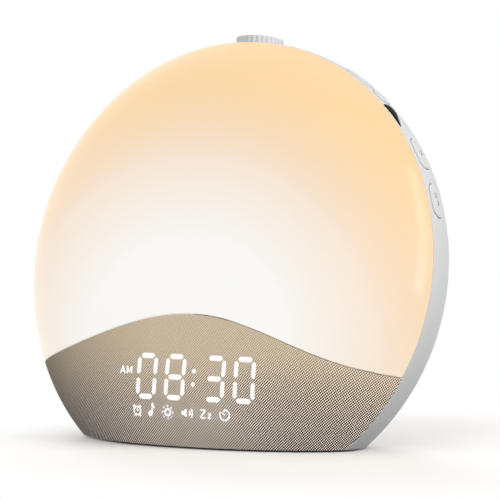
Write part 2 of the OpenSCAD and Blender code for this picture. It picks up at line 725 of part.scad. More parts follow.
// ======== Knob and encoder ========
module knob_turned(list) translate([0, 0, -knob_depth]) rotate([-90, 0, 0])
    rotate_extrude($fn = smooth) polygon(list);
knob_edge = 0.9;                             // rounding of the knob's top edge
rib_r = 0.45;
module knob() color("whitesmoke") on_face() difference() {
    union() {
        knob_turned(concat(
            [[0, knob_bottom], [knob_r, knob_bottom]],
            [for (a = [0:18:90]) [knob_r, knob_top] + knob_edge * [cos(a) - 1, sin(a) - 1]],
            [[0, knob_top]]
        ));
        knob_bar(hub_r, hub_bottom, knob_top - knob_skin);
    }
    // Hollow between the skirt and the hub
    difference() {
        knob_bar(knob_r - knob_skin, knob_bottom - slack, knob_top - knob_skin);
        knob_bar(hub_r, hub_bottom - 1, knob_top);
    }
    knob_bar(shaft_r + 0.02, hub_bottom - slack, shaft_top + 0.1);
    for (i = [0:knob_ribs - 1]) let (a = 360 * (i + 0.5) / knob_ribs)
        translate([knob_r * sin(a), knob_bottom - 1, knob_r * cos(a) - knob_depth])
            rotate([-90, 0, 0]) cylinder(r = rib_r, h = knob_h + 2, $fn = 16);
}
module encoder_shaft() color("silver") on_face() {
    knob_bar(shaft_r, slider_top + 0.1, shaft_top);
    knob_bar(pin_r, slider_bottom + 0.2, slider_top + 0.2);
}
module encoder_slider() color("gray") on_face() difference() {
    knob_bar(slider_r, slider_bottom, slider_top);
    knob_bar(pin_r + running_gap, slider_bottom - 1, slider_top + 1);
}
module encoder_body() color("dimgray") on_face() difference() {
    translate([-encoder_w / 2, encoder_bottom, -knob_depth - encoder_w / 2])
        cube([encoder_w, encoder_h, encoder_w]);
    knob_bar(shaft_r + running_gap, cavity_top - slack, encoder_top + 1);
    knob_bar(slider_r + running_gap, cavity_bottom, cavity_top);
}
module encoder_board() color("darkgreen") on_face() difference() {
    translate([-encoder_board_w / 2, encoder_bottom - board_wall, -knob_depth - encoder_board_d / 2])
        cube([encoder_board_w, board_wall, encoder_board_d]);
    for (s = [-1, 1]) translate([s * encoder_screw_x, 0, 0]) knob_bar(screw_hole_r, 0, far);
}

// ======== Keys ========
module key(i) color("whitesmoke") on_face() {
    intersection() {
        at_rim(key_angles[i]) rim_prism(key_flange_r, face_r + 12, key_depth) pill_2d(key_lengths[i], key_w);
        rear_solid(-key_proud, 0.5);
    }
    intersection() {
        at_rim(key_angles[i]) rim_prism(key_flange_r, face_r + 12, key_depth)
            square([key_lengths[i] - key_w + 2, key_w + 2 * key_flange], center = true);
        rear_solid(shell_wall + gap, 0.5);
    }
    at_rim(key_angles[i]) translate([0, key_post_end, -key_depth]) rotate([-90, 0, 0])
        cylinder(r = key_post_r, h = key_flange_r - key_post_end + 0.5, $fn = fine);
}
module key_1() key(0);
module key_2() key(1);
module key_3() key(2);
module key_4() key(3);
key_board_screw_angles = [
    key_angles[0] + key_angles[1], window_angle + key_angles[2], key_angles[2] + key_angles[3],
] / 2;
key_board_screw_r = key_board_r[0] + 2.5;
module key_board() color("darkgreen") on_face() difference() {
    translate([0, 0, key_board_front - board_wall]) linear_extrude(board_wall) polygon(concat(
        [for (k = [0:12]) let (a = bay_from + 1 + k * (bay_to - bay_from - 2) / 12)
            key_board_r[1] * [sin(a), cos(a)]],
        [for (k = [12:-1:0]) let (a = bay_from + 1 + k * (bay_to - bay_from - 2) / 12)
            key_board_r[0] * [sin(a), cos(a)]]
    ));
    for (a = key_board_screw_angles) at_rim(a) post(0, key_board_screw_r, screw_hole_r, far, -far);
}
module key_switches() color("black") on_face() for (a = key_angles) at_rim(a) difference() {
    translate([-switch_size[0] / 2, switch_top - switch_size[1], key_board_front]) cube(switch_size);
    translate([0, switch_floor, -key_depth]) rotate([-90, 0, 0])
        cylinder(r = key_post_r + gap, h = far, $fn = fine);
}
// Snap domes under the key posts and under the encoder's slider
module switch_domes() color("silver") on_face() {
    for (a = key_angles) at_rim(a) translate([0, switch_floor, -key_depth]) rotate([-90, 0, 0])
        cylinder(r = key_post_r, h = dome_wall, $fn = fine);
    knob_bar(slider_r - 1, cavity_bottom, cavity_bottom + dome_wall);
}
window_flange = 0.4;
module sensor_window() color([0.08, 0.08, 0.09]) on_face() {
    intersection() {
        at_rim(window_angle) rim_prism(face_r - 5, face_r + 12, window_depth) drop_2d(0);
        rear_solid(0, seam + 0.1);
    }
    intersection() {
        at_rim(window_angle) rim_prism(face_r - 5, face_r + 12, window_depth)
            circle(r = window_r + window_flange, $fn = fine);
        rear_solid(shell_wall + 0.1, seam + 0.1);
    }
    at_rim(window_angle) translate([0, switch_top, -window_depth]) rotate([-90, 0, 0])
        cylinder(r = window_stem_r, h = face_r - 4 - switch_top, $fn = fine);
}
module light_sensor() color([0.2, 0.2, 0.2]) on_face() at_rim(window_angle)
    translate([-1.6, switch_top - switch_size[1], key_board_front])
        cube([3.2, switch_size[1] - gap, -window_depth + 1.6 - key_board_front]);

// ======== Speaker ========
gasket_top = frame_front + 2.2;
speaker_lip = 1.2;
speaker_back = -13.8;
speaker_plate = 0.8;
magnet_r = 9;
magnet_h = 5.2;
module speaker_turned(list) translate([speaker_x, speaker_up, 0]) rotate_extrude($fn = smooth) polygon(list);
module speaker_frame() color("dimgray") on_face() speaker_turned([
    [speaker_r, frame_front + speaker_lip], [speaker_r, frame_front], [speaker_r - 1.9, frame_front],
    [speaker_r - 4, speaker_back], [4, speaker_back], [4, speaker_back + speaker_plate],
    [speaker_r - 4.8, speaker_back + speaker_plate], [speaker_r - 2.7, frame_front],
    [speaker_r - 2.7, frame_front + speaker_lip],
]);
module speaker_magnet() color("silver") on_face() {
    post(speaker_x, speaker_up, magnet_r, speaker_back, speaker_back - magnet_h);
    post(speaker_x, speaker_up, 3.7, speaker_back - 1, speaker_back + 4);
}
cone_rim = -3.4;
cone_neck = -9.2;
cone_wall = 0.5;
coil_r = 4.8;
// Cone, rolled surround and voice coil
module speaker_cone() color([0.15, 0.15, 0.16]) on_face() speaker_turned(concat(
    [[coil_r - cone_wall, cone_neck - 3], [coil_r - cone_wall, cone_neck]],
    [for (a = [180:-30:0]) [speaker_r - 4.05 + 1.25 * cos(a), cone_rim + 1.25 * sin(a) * 0.8]],
    [for (a = [0:30:180]) [speaker_r - 4.05 + 0.75 * cos(a), cone_rim - cone_wall + 0.75 * sin(a)]],
    [[coil_r, cone_neck - 1.2 * cone_wall], [coil_r, cone_neck - 3]]
));
cap_r = coil_r + 0.4;
cap_seat = cone_neck + 0.06 + (cap_r - coil_r + cone_wall) * (cone_rim - cone_neck)
    / (speaker_r - 5.3 - coil_r + cone_wall);
module speaker_cap() color("black") on_face() speaker_turned(concat(
    [for (a = [0:15:90]) [cap_r * cos(a), cap_seat + 1.6 * sin(a)]], [[0, cap_seat]]
));
module speaker_gasket() color("black") on_face() translate([speaker_x, speaker_up, 0])
    tube(speaker_r, speaker_r - 2.4, frame_front + speaker_lip, gasket_top);

// ======== Boards ========
main_front = frame_back - 7;
main_back = main_front - board_wall;
main_posts = [for (s = [-1, 1], k = [-1, 1]) [s * (main_w / 2 - 4), main_up + k * (main_h / 2 - 4)]];
module main_board() color("darkgreen") on_face() difference() {
    block(0, main_up, [main_w, main_h], main_back, main_front);
    for (p = main_posts) post(p[0], p[1], screw_hole_r, far, -far);
}
// Chips as [x, up, width, height, thickness] from the middle of the main board's back
chips = [[-12, 0, 10, 10, 1.4], [3, -10, 7, 7, 1.2], [-27, 10, 6, 5, 1.2], [20, 12, 15, 11, 2.2],
    [-22, -19, 12, 4, 3], [-33, -2, 4, 6, 1.2]];
module board_chips() color([0.13, 0.13, 0.14]) on_face()
    for (c = chips) block(c[0], main_up + c[1], [c[2], c[3]], main_back - c[4], main_back);
cell_place = [main_w / 2 - 20, main_up - 10];
cell_h = 3.2;
holder_wall = 1;
module cell_holder() color("black") on_face() difference() {
    block(cell_place[0], cell_place[1], 2 * [cell_r + holder_wall, cell_r + holder_wall], main_back,
        main_back - cell_h);
    post(cell_place[0], cell_place[1], cell_r + 0.1, main_back - holder_wall, -far);
}
module backup_cell() color("silver") on_face()
    post(cell_place[0], cell_place[1], cell_r, main_back - holder_wall, main_back - holder_wall - cell_h);
capacitor_r = 2.6;
capacitor_h = 6.5;
module capacitors() color("navy") on_face() for (p = [[7 - main_w / 2, -11], [15 - main_w / 2, -11], [-2, 16]])
    post(p[0], main_up + p[1], capacitor_r, main_back, main_back - capacitor_h);

power_up = 22.6 - face_height;
power_screw_x = 10.5;
power_seat = -28.4;                          // face of the power board that looks at the back
power_board_size = [27, 12];
socket_wall = 0.5;
socket_end = -rear_depth(abs(power_up) + socket_h, 0) + 0.3;
module power_board() color("darkgreen") on_face() difference() {
    block(0, power_up, power_board_size, power_seat, power_seat + board_wall);
    for (s = [-1, 1]) post(s * power_screw_x, power_up, screw_hole_r, far, -far);
}
module power_socket() color("silver") on_face() translate([0, power_up, 0]) difference() {
    translate([0, 0, socket_end]) linear_extrude(power_seat - socket_end)
        pill_2d(socket_w + 2 * socket_wall, socket_h + 2 * socket_wall);
    difference() {
        translate([0, 0, socket_end - 1]) linear_extrude(power_seat - socket_end) pill_2d(socket_w, socket_h);
        // Tongue in the socket's mouth
        translate([-socket_w / 2 + 1.2, -0.35, socket_end + 0.8]) cube([socket_w - 2.4, 0.7, 20]);
    }
}

// ======== Wiring ========
module display_ribbon() color("white") on_face() block(display_ribbon_place[0], display_ribbon_place[1],
    [ribbon_w, ribbon_wall], main_front, display_back);
module light_ribbon() color("white") on_face() block(light_ribbon_place[0], light_ribbon_place[1],
    [ribbon_w, ribbon_wall], main_front, frame_front);
wire_r = 0.8;
// A cable through points in the frame of the face
module wire(points) for (i = [0:len(points) - 2]) let (
    d = points[i + 1] - points[i],
    turn = [0, acos(d[2] / norm(d)), atan2(d[1], d[0])]
) {
    translate(points[i]) rotate(turn) cylinder(r = wire_r, h = norm(d), $fn = 16);
    if (i > 0) translate(points[i]) sphere(r = wire_r + 0.06, $fn = 16);
}
wire_clear = 3.5;                            // how far a cable stands off the board it ends on
lead_up = main_up - main_h / 2 + 6;          // where the leads land on the main board's lower edge
module speaker_leads() color("firebrick") on_face()
    wire([[speaker_x - 9.8, speaker_up + 5, -10], [main_w / 2 - 10, lead_up - 4, -10],
        [main_w / 2 - 10, lead_up, -10], [main_w / 2 - 10, lead_up, main_front]]);
module power_leads() color("firebrick") on_face() let (start = power_seat + board_wall)
    wire([[-4, power_up + 2, start], [-4, power_up + 2, start + 2],
        [-8, lead_up, main_back - wire_clear], [-8, lead_up, main_back]]);
module signal_leads() color("gray") on_face() {
    at = (key_board_r[0] + 1) * [sin(key_angles[2] + 1.2), cos(key_angles[2] + 1.2)];
    wire([[at[0], at[1], key_board_front - board_wall], [at[0], at[1], key_board_front - board_wall - 2],
        [main_w / 2 - 4, main_up + 17, main_back - wire_clear], [main_w / 2 - 4, main_up + 17, main_back]]);
    wire([[-5, encoder_bottom - board_wall, -12], [-5, encoder_bottom - board_wall - 3, -12],
        [-8, main_up + 22, main_back - wire_clear], [-8, main_up + 22, main_back]]);
}

// ======== Screws ========
module housing_screws() color("silver") on_face()
    for (p = housing_posts) screw(p[0], p[1], frame_post_end - post_web, frame_back - 1.4);
module frame_screws() color("silver") on_face()
    for (p = concat(lip_posts, panel_posts)) screw(p[0], p[1], frame_back, frame_front + 6.4);
module board_screws() color("silver") on_face() {
    for (p = main_posts) screw(p[0], p[1], main_back, main_front + 5);
    for (i = [0, 1]) screw(display_posts[i][0], display_posts[i][1], case_back, display_back - 4);
    for (s = [-1, 1]) screw(s * power_screw_x, power_up, power_seat + board_wall, power_seat - 4);
    for (a = key_board_screw_angles) at_rim(a)
        screw(0, key_board_screw_r, key_board_front - board_wall, frame_front - 1.6);
    for (s = [-1, 1]) translate([s * encoder_screw_x, 0, -knob_depth]) rotate([-90, 0, 0])
        screw(0, 0, encoder_bottom - board_wall, encoder_bottom + 5);
}
module base_screws() color("silver")
    for (s = [-1, 1]) screw(s * base_post_x, base_post_y, pad_wall + head_h, base_top + 7);

rear_housing();
base_plate();
base_pad();
diffuser();
grille_panel();
grille_cloth();
inner_frame();
light_board();
light_diodes();
reflector();
light_baffle();
display_digits();
display_icons();
display_case();
display_board();
knob();
encoder_shaft();
encoder_slider();
encoder_body();
encoder_board();
key_1();
key_2();
key_3();
key_4();
key_board();
key_switches();
switch_domes();
sensor_window();
light_sensor();
speaker_frame();
speaker_magnet();
speaker_cone();
speaker_cap();
speaker_gasket();
main_board();
board_chips();
backup_cell();
cell_holder();
capacitors();
power_socket();
power_board();
display_ribbon();
light_ribbon();
speaker_leads();
power_leads();
signal_leads();
housing_screws();
frame_screws();
board_screws();
base_screws();
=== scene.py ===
"""Sunrise alarm clock: dresses the packed solids with the lit face, cloth, casing, keys and knob."""

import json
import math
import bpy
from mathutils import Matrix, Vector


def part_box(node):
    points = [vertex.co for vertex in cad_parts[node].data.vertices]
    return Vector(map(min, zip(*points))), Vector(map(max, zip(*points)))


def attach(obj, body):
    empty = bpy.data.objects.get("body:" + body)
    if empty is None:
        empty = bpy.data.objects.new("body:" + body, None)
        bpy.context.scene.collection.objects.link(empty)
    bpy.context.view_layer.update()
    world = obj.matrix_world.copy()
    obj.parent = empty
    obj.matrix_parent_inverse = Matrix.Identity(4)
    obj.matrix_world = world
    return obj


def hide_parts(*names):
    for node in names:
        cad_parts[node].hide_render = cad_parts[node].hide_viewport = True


bl_info = {
    "name": "Sunrise Alarm Clock",
    "version": (1, 0, 0),
    "blender": (4, 5, 0),
    "location": "3D View > Sidebar > Clock",
    "description": "Lit face, cloth grille, casing, keys and knob of a sunrise alarm clock",
    "category": "Object",
}

import bmesh
import bpy
import numpy as np
from mathutils import Matrix, Vector

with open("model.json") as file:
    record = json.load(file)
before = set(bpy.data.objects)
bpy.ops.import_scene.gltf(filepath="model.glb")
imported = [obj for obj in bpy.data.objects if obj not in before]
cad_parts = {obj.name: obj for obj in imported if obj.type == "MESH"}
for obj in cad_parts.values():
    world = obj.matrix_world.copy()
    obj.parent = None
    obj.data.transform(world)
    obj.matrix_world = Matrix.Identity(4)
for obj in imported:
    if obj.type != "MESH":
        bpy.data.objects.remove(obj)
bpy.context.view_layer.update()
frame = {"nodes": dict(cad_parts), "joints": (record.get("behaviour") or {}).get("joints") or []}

MM = 0.001
JOINTS = {joint["name"]: joint for joint in frame["joints"]}

# The face's own frame, from the rim's centre: ACROSS, UP along its upright axis, and OUT towards the viewer
ACROSS = Vector((1.0, 0.0, 0.0))
UP = Vector(JOINTS["knob_turn"]["axis"]).normalized()
OUT = Vector((0.0, -UP.z, UP.y))
KNOB_UP = 90 * MM
KNOB_DEPTH = 10.8 * MM
RIM = Vector(JOINTS["knob_turn"]["pos_m"]) - UP * KNOB_UP + OUT * KNOB_DEPTH
FACE_RADIUS = (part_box("diffuser")[1].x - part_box("diffuser")[0].x) / 2
PAD_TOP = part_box("base_pad")[1].z


# ---- Sizes and colours ----


class ClockShell(bpy.types.PropertyGroup):
    """Sizes of the two shells"""

    face_radius: bpy.props.FloatProperty(
        name="Face radius", description="Radius of the rim", default=FACE_RADIUS, unit="LENGTH"
    )
    bulge: bpy.props.FloatProperty(
        name="Bulge", description="How far the face stands out of the rim", default=26 * MM, unit="LENGTH"
    )
    power: bpy.props.FloatProperty(
        name="Fullness", description="Power of the face's curve; higher is flatter in the middle", default=5.9
    )
    wall: bpy.props.FloatProperty(
        name="Diffuser wall", description="Thickness of the lit shell", default=2 * MM, unit="LENGTH"
    )
    seam: bpy.props.FloatProperty(
        name="Seam", description="Gap between the face and the casing", default=0.2 * MM, unit="LENGTH"
    )
    edge: bpy.props.FloatProperty(
        name="Edge", description="Rounding of the shells' edges", default=0.35 * MM, unit="LENGTH"
    )
    wave_low: bpy.props.FloatProperty(
        name="Wave foot", description="Height of the cloth's ends on the face", default=-40.8 * MM, unit="LENGTH"
    )
    wave_rise: bpy.props.FloatProperty(
        name="Wave rise", description="Height of the wave's crest over its feet", default=19.4 * MM, unit="LENGTH"
    )
    wave_half: bpy.props.FloatProperty(
        name="Wave half width", description="From the crest to each foot", default=86 * MM, unit="LENGTH"
    )
    back_round: bpy.props.FloatProperty(
        name="Back rounding", description="Radius of the casing's round back edge", default=29.5 * MM, unit="LENGTH"
    )
    back_swell: bpy.props.FloatProperty(
        name="Back swell", description="Depth of the casing's widest line", default=5.5 * MM, unit="LENGTH"
    )
    back_crown: bpy.props.FloatProperty(
        name="Back crown", description="Rise of the back's middle", default=5 * MM, unit="LENGTH"
    )
    back_wall: bpy.props.FloatProperty(
        name="Casing wall", description="Thickness of the casing", default=2.2 * MM, unit="LENGTH"
    )


class ClockGlow(bpy.types.PropertyGroup):
    """Colours of the lit diffuser"""

    core: bpy.props.FloatVectorProperty(
        name="Core", description="Colour at the heart of the glow", subtype="COLOR", size=3,
        default=(0.985, 0.977, 0.945)
    )
    dawn: bpy.props.FloatVectorProperty(
        name="Dawn", description="Colour halfway out", subtype="COLOR", size=3, default=(0.947, 0.799, 0.665)
    )
    apricot: bpy.props.FloatVectorProperty(
        name="Apricot", description="Colour near the rim", subtype="COLOR", size=3, default=(0.956, 0.730, 0.497)
    )
    edge: bpy.props.FloatVectorProperty(
        name="Edge", description="Colour at the face's top edge", subtype="COLOR", size=3,
        default=(0.957, 0.662, 0.332)
    )
    lit_share: bpy.props.FloatProperty(
        name="Lit share", description="Share of the colour that is the face's own light",
        default=0.82, subtype="FACTOR"
    )


class ClockCloth(bpy.types.PropertyGroup):
    """Weave and colours of the cloth"""

    pitch: bpy.props.FloatProperty(
        name="Thread pitch", description="Distance between threads", default=0.32 * MM, unit="LENGTH"
    )
    # Painted light: the cloth's colour where the glow's painted spill lights it, near the wave
    warm: bpy.props.FloatVectorProperty(
        name="Warm", description="Colour of the cloth near the lit wave", subtype="COLOR", size=3,
        default=(0.81, 0.667, 0.482)
    )
    # Painted shade: the cloth's colour in the painted shade near its foot
    grey: bpy.props.FloatVectorProperty(
        name="Grey", description="Colour of the cloth near its foot", subtype="COLOR", size=3,
        default=(0.56, 0.487, 0.43)
    )


class ClockDisplay(bpy.types.PropertyGroup):
    """What the display shows"""

    hour: bpy.props.IntProperty(name="Hour", description="Hour shown", default=8, min=0, max=23)
    minute: bpy.props.IntProperty(name="Minute", description="Minute shown", default=30, min=0, max=59)
    halo: bpy.props.FloatProperty(
        name="Halo", description="Width of the soft edge of each lit stroke", default=0.3 * MM, unit="LENGTH"
    )
    light: bpy.props.FloatVectorProperty(
        name="Light", description="Colour of the lit strokes", subtype="COLOR", size=3, default=(1.0, 1.0, 0.99)
    )


class ClockKnob(bpy.types.PropertyGroup):
    """Sizes of the ribbed knob"""

    radius: bpy.props.FloatProperty(name="Radius", description="Over the ribs", default=9.7 * MM, unit="LENGTH")
    ribs: bpy.props.IntProperty(name="Ribs", description="Ribs round the knob", default=28, min=8)
    groove: bpy.props.FloatProperty(
        name="Groove", description="Depth of the gaps between ribs", default=0.75 * MM, unit="LENGTH"
    )


class ClockStage(bpy.types.PropertyGroup):
    """Camera, lamps and world"""

    lens: bpy.props.FloatProperty(name="Lens", description="Focal length on a 36 mm sensor, in mm", default=218.33)
    camera_place: bpy.props.FloatVectorProperty(
        name="Camera", description="Place of the camera", size=3, subtype="XYZ", default=(0.61366, -1.04715, 0.12318)
    )
    camera_aim: bpy.props.FloatVectorProperty(
        name="Aim", description="Direction the camera looks in", size=3, subtype="XYZ",
        default=(-0.50072, 0.86487, -0.03845)
    )
    world_light: bpy.props.FloatProperty(name="World light", description="Strength of the even light", default=0.4)
    key_light: bpy.props.FloatProperty(
        name="Key light", description="Power of the overhead softbox, in watts", default=2.1
    )
    fill_light: bpy.props.FloatProperty(
        name="Fill light", description="Power of the softbox in front, in watts", default=5.0
    )
    side_light: bpy.props.FloatProperty(
        name="Side light", description="Power of the softbox beside it, in watts", default=6.8
    )
    back_light: bpy.props.FloatProperty(
        name="Back light", description="Power of the softbox behind, in watts", default=7.5
    )
    strip_light: bpy.props.FloatProperty(
        name="Strip light", description="Power of the narrow strip, in watts", default=1.2
    )


SETTINGS = {
    "clock_shell": ClockShell,
    "clock_glow": ClockGlow,
    "clock_cloth": ClockCloth,
    "clock_display": ClockDisplay,
    "clock_knob": ClockKnob,
    "clock_stage": ClockStage,
}


def settings(name):
    return getattr(bpy.context.scene, name)


# ---- Laws of the two shells, in the face's frame ----


def rim_of(inset):
    """Radius of the face's rim on the surface that lies inset under the outside."""
    s = settings("clock_shell")
    return s.face_radius - math.hypot(1, s.face_radius / (s.power * s.bulge)) * inset


def face_height(r, inset=0.0):
    s = settings("clock_shell")
    return (s.bulge - inset) * (1 - (np.minimum(r, rim_of(inset)) / rim_of(inset)) ** s.power)


def wave(x):
    s = settings("clock_shell")
    inside = np.abs(x) < s.wave_half
    return s.wave_low + np.where(inside, s.wave_rise * (0.5 + 0.5 * np.cos(math.pi * x / s.wave_half)), 0.0)


def back_centre():
    """Radius at which the casing's round edge meets its crowned back."""
    s = settings("clock_shell")
    return s.face_radius - math.sqrt(s.back_round**2 - s.back_swell**2)


def back_radius(depth):
    """Radius of the casing at a depth behind the rim."""
    s = settings("clock_shell")
    return back_centre() + np.sqrt(s.back_round**2 - (depth - s.back_swell) ** 2)


def back_depth(r, inset=0.0):
    """Depth of the casing's back at a radius."""
    s = settings("clock_shell")
    centre, turn = back_centre(), s.back_round - inset
    crown = np.where(r > centre, 0.0, s.back_crown * (0.5 + 0.5 * np.cos(math.pi * r / centre)))
    return s.back_swell + crown + np.sqrt(turn**2 - np.clip(r - centre, 0, turn) ** 2)


def placed(x, up, out):
    """Points of the face's frame, as rows in the row frame."""
    x, up, out = np.broadcast_arrays(x, up, out)
    points = x[..., None] * np.array(ACROSS) + up[..., None] * np.array(UP) + out[..., None] * np.array(OUT)
    return points.reshape(-1, 3) + np.array(RIM)


# ---- Points ----


def mm(*rows):
    return [tuple(value * MM for value in row) for row in rows]


def circle(count, start=0.0):
    """Points of a circle of radius one, from a share of a step onwards."""
    angles = (np.arange(count) + start) * 2 * math.pi / count
    return np.stack([np.cos(angles), np.sin(angles)], -1)


def unit(rows):
    return rows / np.maximum(np.linalg.norm(rows, axis=-1, keepdims=True), 1e-9)


def turn_by(angle):
    """Turns rows of flat points by an angle, from the right."""
    c, s = math.cos(angle), math.sin(angle)
    return np.array([[c, s], [-s, c]])


def rounded(start, corner, end, shares):
    """Points of a curve from start to end that rounds off the corner between them."""
    return [(1 - t) ** 2 * start + 2 * t * (1 - t) * corner + t**2 * end for t in shares]


def quarter(radius, steps=5):
    """(inwards, downwards) pairs of a quarter round, from its side to its top."""
    return [(radius * (1 - math.cos(a)), radius * (1 - math.sin(a))) for a in np.linspace(0, math.pi / 2, steps)]


def first_past(low, high, past):
    """Where past() begins to hold between two rows of numbers, by halving."""
    for _ in range(48):
        middle = (low + high) / 2
        beyond = past(middle)
        low, high = np.where(beyond, low, middle), np.where(beyond, middle, high)
    return (low + high) / 2


# ---- Meshes ----


def new_object(name, mesh):
    obj = bpy.data.objects.new(name, mesh)
    bpy.context.scene.collection.objects.link(obj)
    return obj


def mesh_object(name, points, faces, closed=True):
    """A mesh of these points; a closed one gets its normals turned outwards."""
    mesh = bpy.data.meshes.new(name)
    mesh.from_pydata([tuple(p) for p in points], [], faces)
    mesh.validate()
    if closed:
        work = bmesh.new()
        work.from_mesh(mesh)
        bmesh.ops.remove_doubles(work, verts=work.verts, dist=1e-7)
        bmesh.ops.recalc_face_normals(work, faces=work.faces)
        work.to_mesh(mesh)
        work.free()
    mesh.update()
    return new_object(name, mesh)


def band_faces(rows, count, start=0, closed=True):
    """Quads between successive rows of count points, which close into rings or don't."""
    return [
        (start + i * count + j, start + i * count + (j + 1) % count,
         start + (i + 1) * count + (j + 1) % count, start + (i + 1) * count + j)
        for i in range(rows - 1)
        for j in range(count if closed else count - 1)
    ]


def stacked_rings(name, rings, first=None, last=None):
    """A closed form: rings of points, with a point that closes each end."""
    count = len(rings[0])
    points = [p for ring in rings for p in ring]
    faces = band_faces(len(rings), count)
    for end, index in ((first, 0), (last, len(rings) - 1)):
        points.append(np.mean(rings[index], axis=0) if end is None else end)
        base = index * count
        faces += [(base + j, base + (j + 1) % count, len(points) - 1) for j in range(count)]
    return mesh_object(name, points, faces)


def turned(name, profile, count=96):
    """A form turned round the z axis from (radius, height) pairs."""
    return stacked_rings(name, [np.insert(circle(count) * r, 2, h, axis=1) for r, h in profile])


def post(name, spot, r, start, end):
    """A round bar along OUT between two depths behind the rim."""
    across, up = (circle(32) * r + spot).T
    return stacked_rings(name, [placed(across, up, -depth) for depth in (start, end)])


def baked(obj):
    """The object with its modifiers applied to its mesh."""
    bpy.context.view_layer.update()
    source = obj.evaluated_get(bpy.context.evaluated_depsgraph_get())
    mesh = bpy.data.meshes.new_from_object(source)
    obj.modifiers.clear()
    old, obj.data = obj.data, mesh
    bpy.data.meshes.remove(old)
    return obj


def discard(obj):
    mesh = obj.data
    bpy.data.objects.remove(obj)
    bpy.data.meshes.remove(mesh)


def joined(objects):
    """One mesh object of several, none of which is left."""
    work = bmesh.new()
    for obj in objects:
        work.from_mesh(obj.data)
    work.to_mesh(objects[0].data)
    work.free()
    for obj in objects[1:]:
        discard(obj)
    return objects[0]


def combine(obj, operation, tools):
    """Cuts tools out of the object, or adds them to it."""
    change = obj.modifiers.new(operation.title(), "BOOLEAN")
    change.operation = operation
    change.solver = "EXACT"
    change.object = joined(tools)
    tool = change.object
    baked(obj)
    discard(tool)


def smooth(obj, degrees=35):
    obj.data.polygons.foreach_set("use_smooth", [True] * len(obj.data.polygons))
    obj.data.set_sharp_from_angle(angle=math.radians(degrees))
    obj.data.update()
    return obj


def dress(obj, body, slot, finish, *nodes):
    """Gives a finished mesh its material and body, and hides the solids that it stands for; its slot is not used."""
    obj.data.materials.clear()
    obj.data.materials.append(finish)
    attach(obj, body)
    if nodes:
        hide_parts(*nodes)


# ---- Forms that stand on the casing: a flat outline grows by a margin, and a surface carries it ----


def pill(length, width, count=48):
    around = circle(count, 0.5)

    def outline(grow=0.0):
        return around * (width / 2 + grow) + np.sign(around) * ((length - width) / 2, 0.0)

    return outline


def drop(r, tip_r, run, lean, corner, corner_way, count=64):
    """A round end that runs out to a tip, with a soft corner on one side."""

    def outline(grow=0.0):
        turn = math.acos((r - tip_r) / run)
        big = np.linspace(turn, 2 * math.pi - turn, count * 3 // 4)
        small = np.linspace(-turn, turn, count // 4 + 2)[1:-1]
        wide = r * (1 + corner * np.maximum(0, np.cos(big - corner_way)) ** 8) + grow
        points = np.concatenate([
            np.stack([wide * np.cos(big), wide * np.sin(big)], -1),
            np.stack([run + (tip_r + grow) * np.cos(small), (tip_r + grow) * np.sin(small)], -1),
        ])
        return points @ turn_by(lean)

    return outline


def rim_surface(angle, depth):
    """Maps flat points and a height to the casing's rim, round a spot on it."""

    def at(points, height):
        a, d = points[:, 0], depth + points[:, 1]
        y = np.sqrt((back_radius(d) + height) ** 2 - a**2)
        c, s = math.cos(angle), math.sin(angle)
        return placed(a * c + y * s, -a * s + y * c, -d)

    return at


def back_surface(x, up):
    """The same round a spot on the casing's back."""

    def at(points, height):
        px, py = x + points[:, 0], up + points[:, 1]
        return placed(px, py, -back_depth(np.hypot(px, py)) - height)

    return at


def studded(name, surface, outline, sides, crown=0.0, centre=(0.0, 0.0)):
    """A form that stands on a surface: sides are (growth, height) pairs from its foot to its top edge."""
    rings = [surface(outline(grow), height) for grow, height in sides]
    grow, height = sides[-1]
    hub, edge = np.array(centre), outline(grow)
    for share in (0.85, 0.65, 0.4, 0.15):
        rings.append(surface(hub + (edge - hub) * share, height + crown * (1 - share**2)))
    return stacked_rings(name, rings, last=surface(hub[None, :], height + crown)[0])


def eased(foot, radius, height):
    """Sides of a form whose top edge is rounded."""
    return [(0.0, foot)] + [(-inwards, height - down) for inwards, down in quarter(radius)]


def mouth(foot, radius, flare, gap=0.0):
    """Sides of a cutter that leaves a rounded mouth, and ends 1 mm above the surface."""
    turns = np.linspace(0, math.pi / 2 * 0.85, 5)
    curve = [(gap + radius * (1 - math.cos(a)), -radius * (1 - math.sin(a)) + 0.02 * MM) for a in turns]
    return [(gap, foot)] + curve + [(gap + flare, 1 * MM)]


# ---- Node trees ----


class Value:
    """A node's output that sums and ramps can be made of."""

    def __init__(self, socket):
        self.socket = socket

    def maths(self, operation, *others):
        inputs = dict(enumerate((self, *others)))
        return value(self.socket.id_data, "ShaderNodeMath", inputs, operation=operation)

    def __add__(self, other):
        return self.maths("ADD", other)

    def __mul__(self, other):
        return self.maths("MULTIPLY", other)

    def ramp(self, start, end, low=0.0, high=1.0, kind="LINEAR"):
        """Goes from low to high while this value goes from start to end."""
        inputs = {"Value": self, "From Min": start, "From Max": end, "To Min": low, "To Max": high}
        return value(self.socket.id_data, "ShaderNodeMapRange", inputs, interpolation_type=kind)

    def between(self, low, high):
        return self.ramp(0.0, 1.0, low, high)


def feed(target, inputs):
    """Sets a node's inputs, each to a plain value or to an output that it is linked to."""
    for key, given in inputs.items():
        if isinstance(given, Value):
            target.id_data.links.new(given.socket, target.inputs[key])
        else:
            target.inputs[key].default_value = given
    return target


def node(tree, kind, inputs=None, **properties):
    made = tree.nodes.new(kind)
    for key, given in properties.items():
        setattr(made, key, given)
    return feed(made, inputs or {})


def value(tree, kind, inputs=None, output=0, **properties):
    """One output of a new node."""
    return Value(node(tree, kind, inputs, **properties).outputs[output])


def own_place(tree):
    return value(tree, "ShaderNodeTexCoord", output="Object")


def noise(tree, scale, detail=2.0, place=None, roughness=0.5):
    inputs = {"Vector": place or own_place(tree), "Scale": scale, "Detail": detail, "Roughness": roughness}
    return value(tree, "ShaderNodeTexNoise", inputs, "Fac")


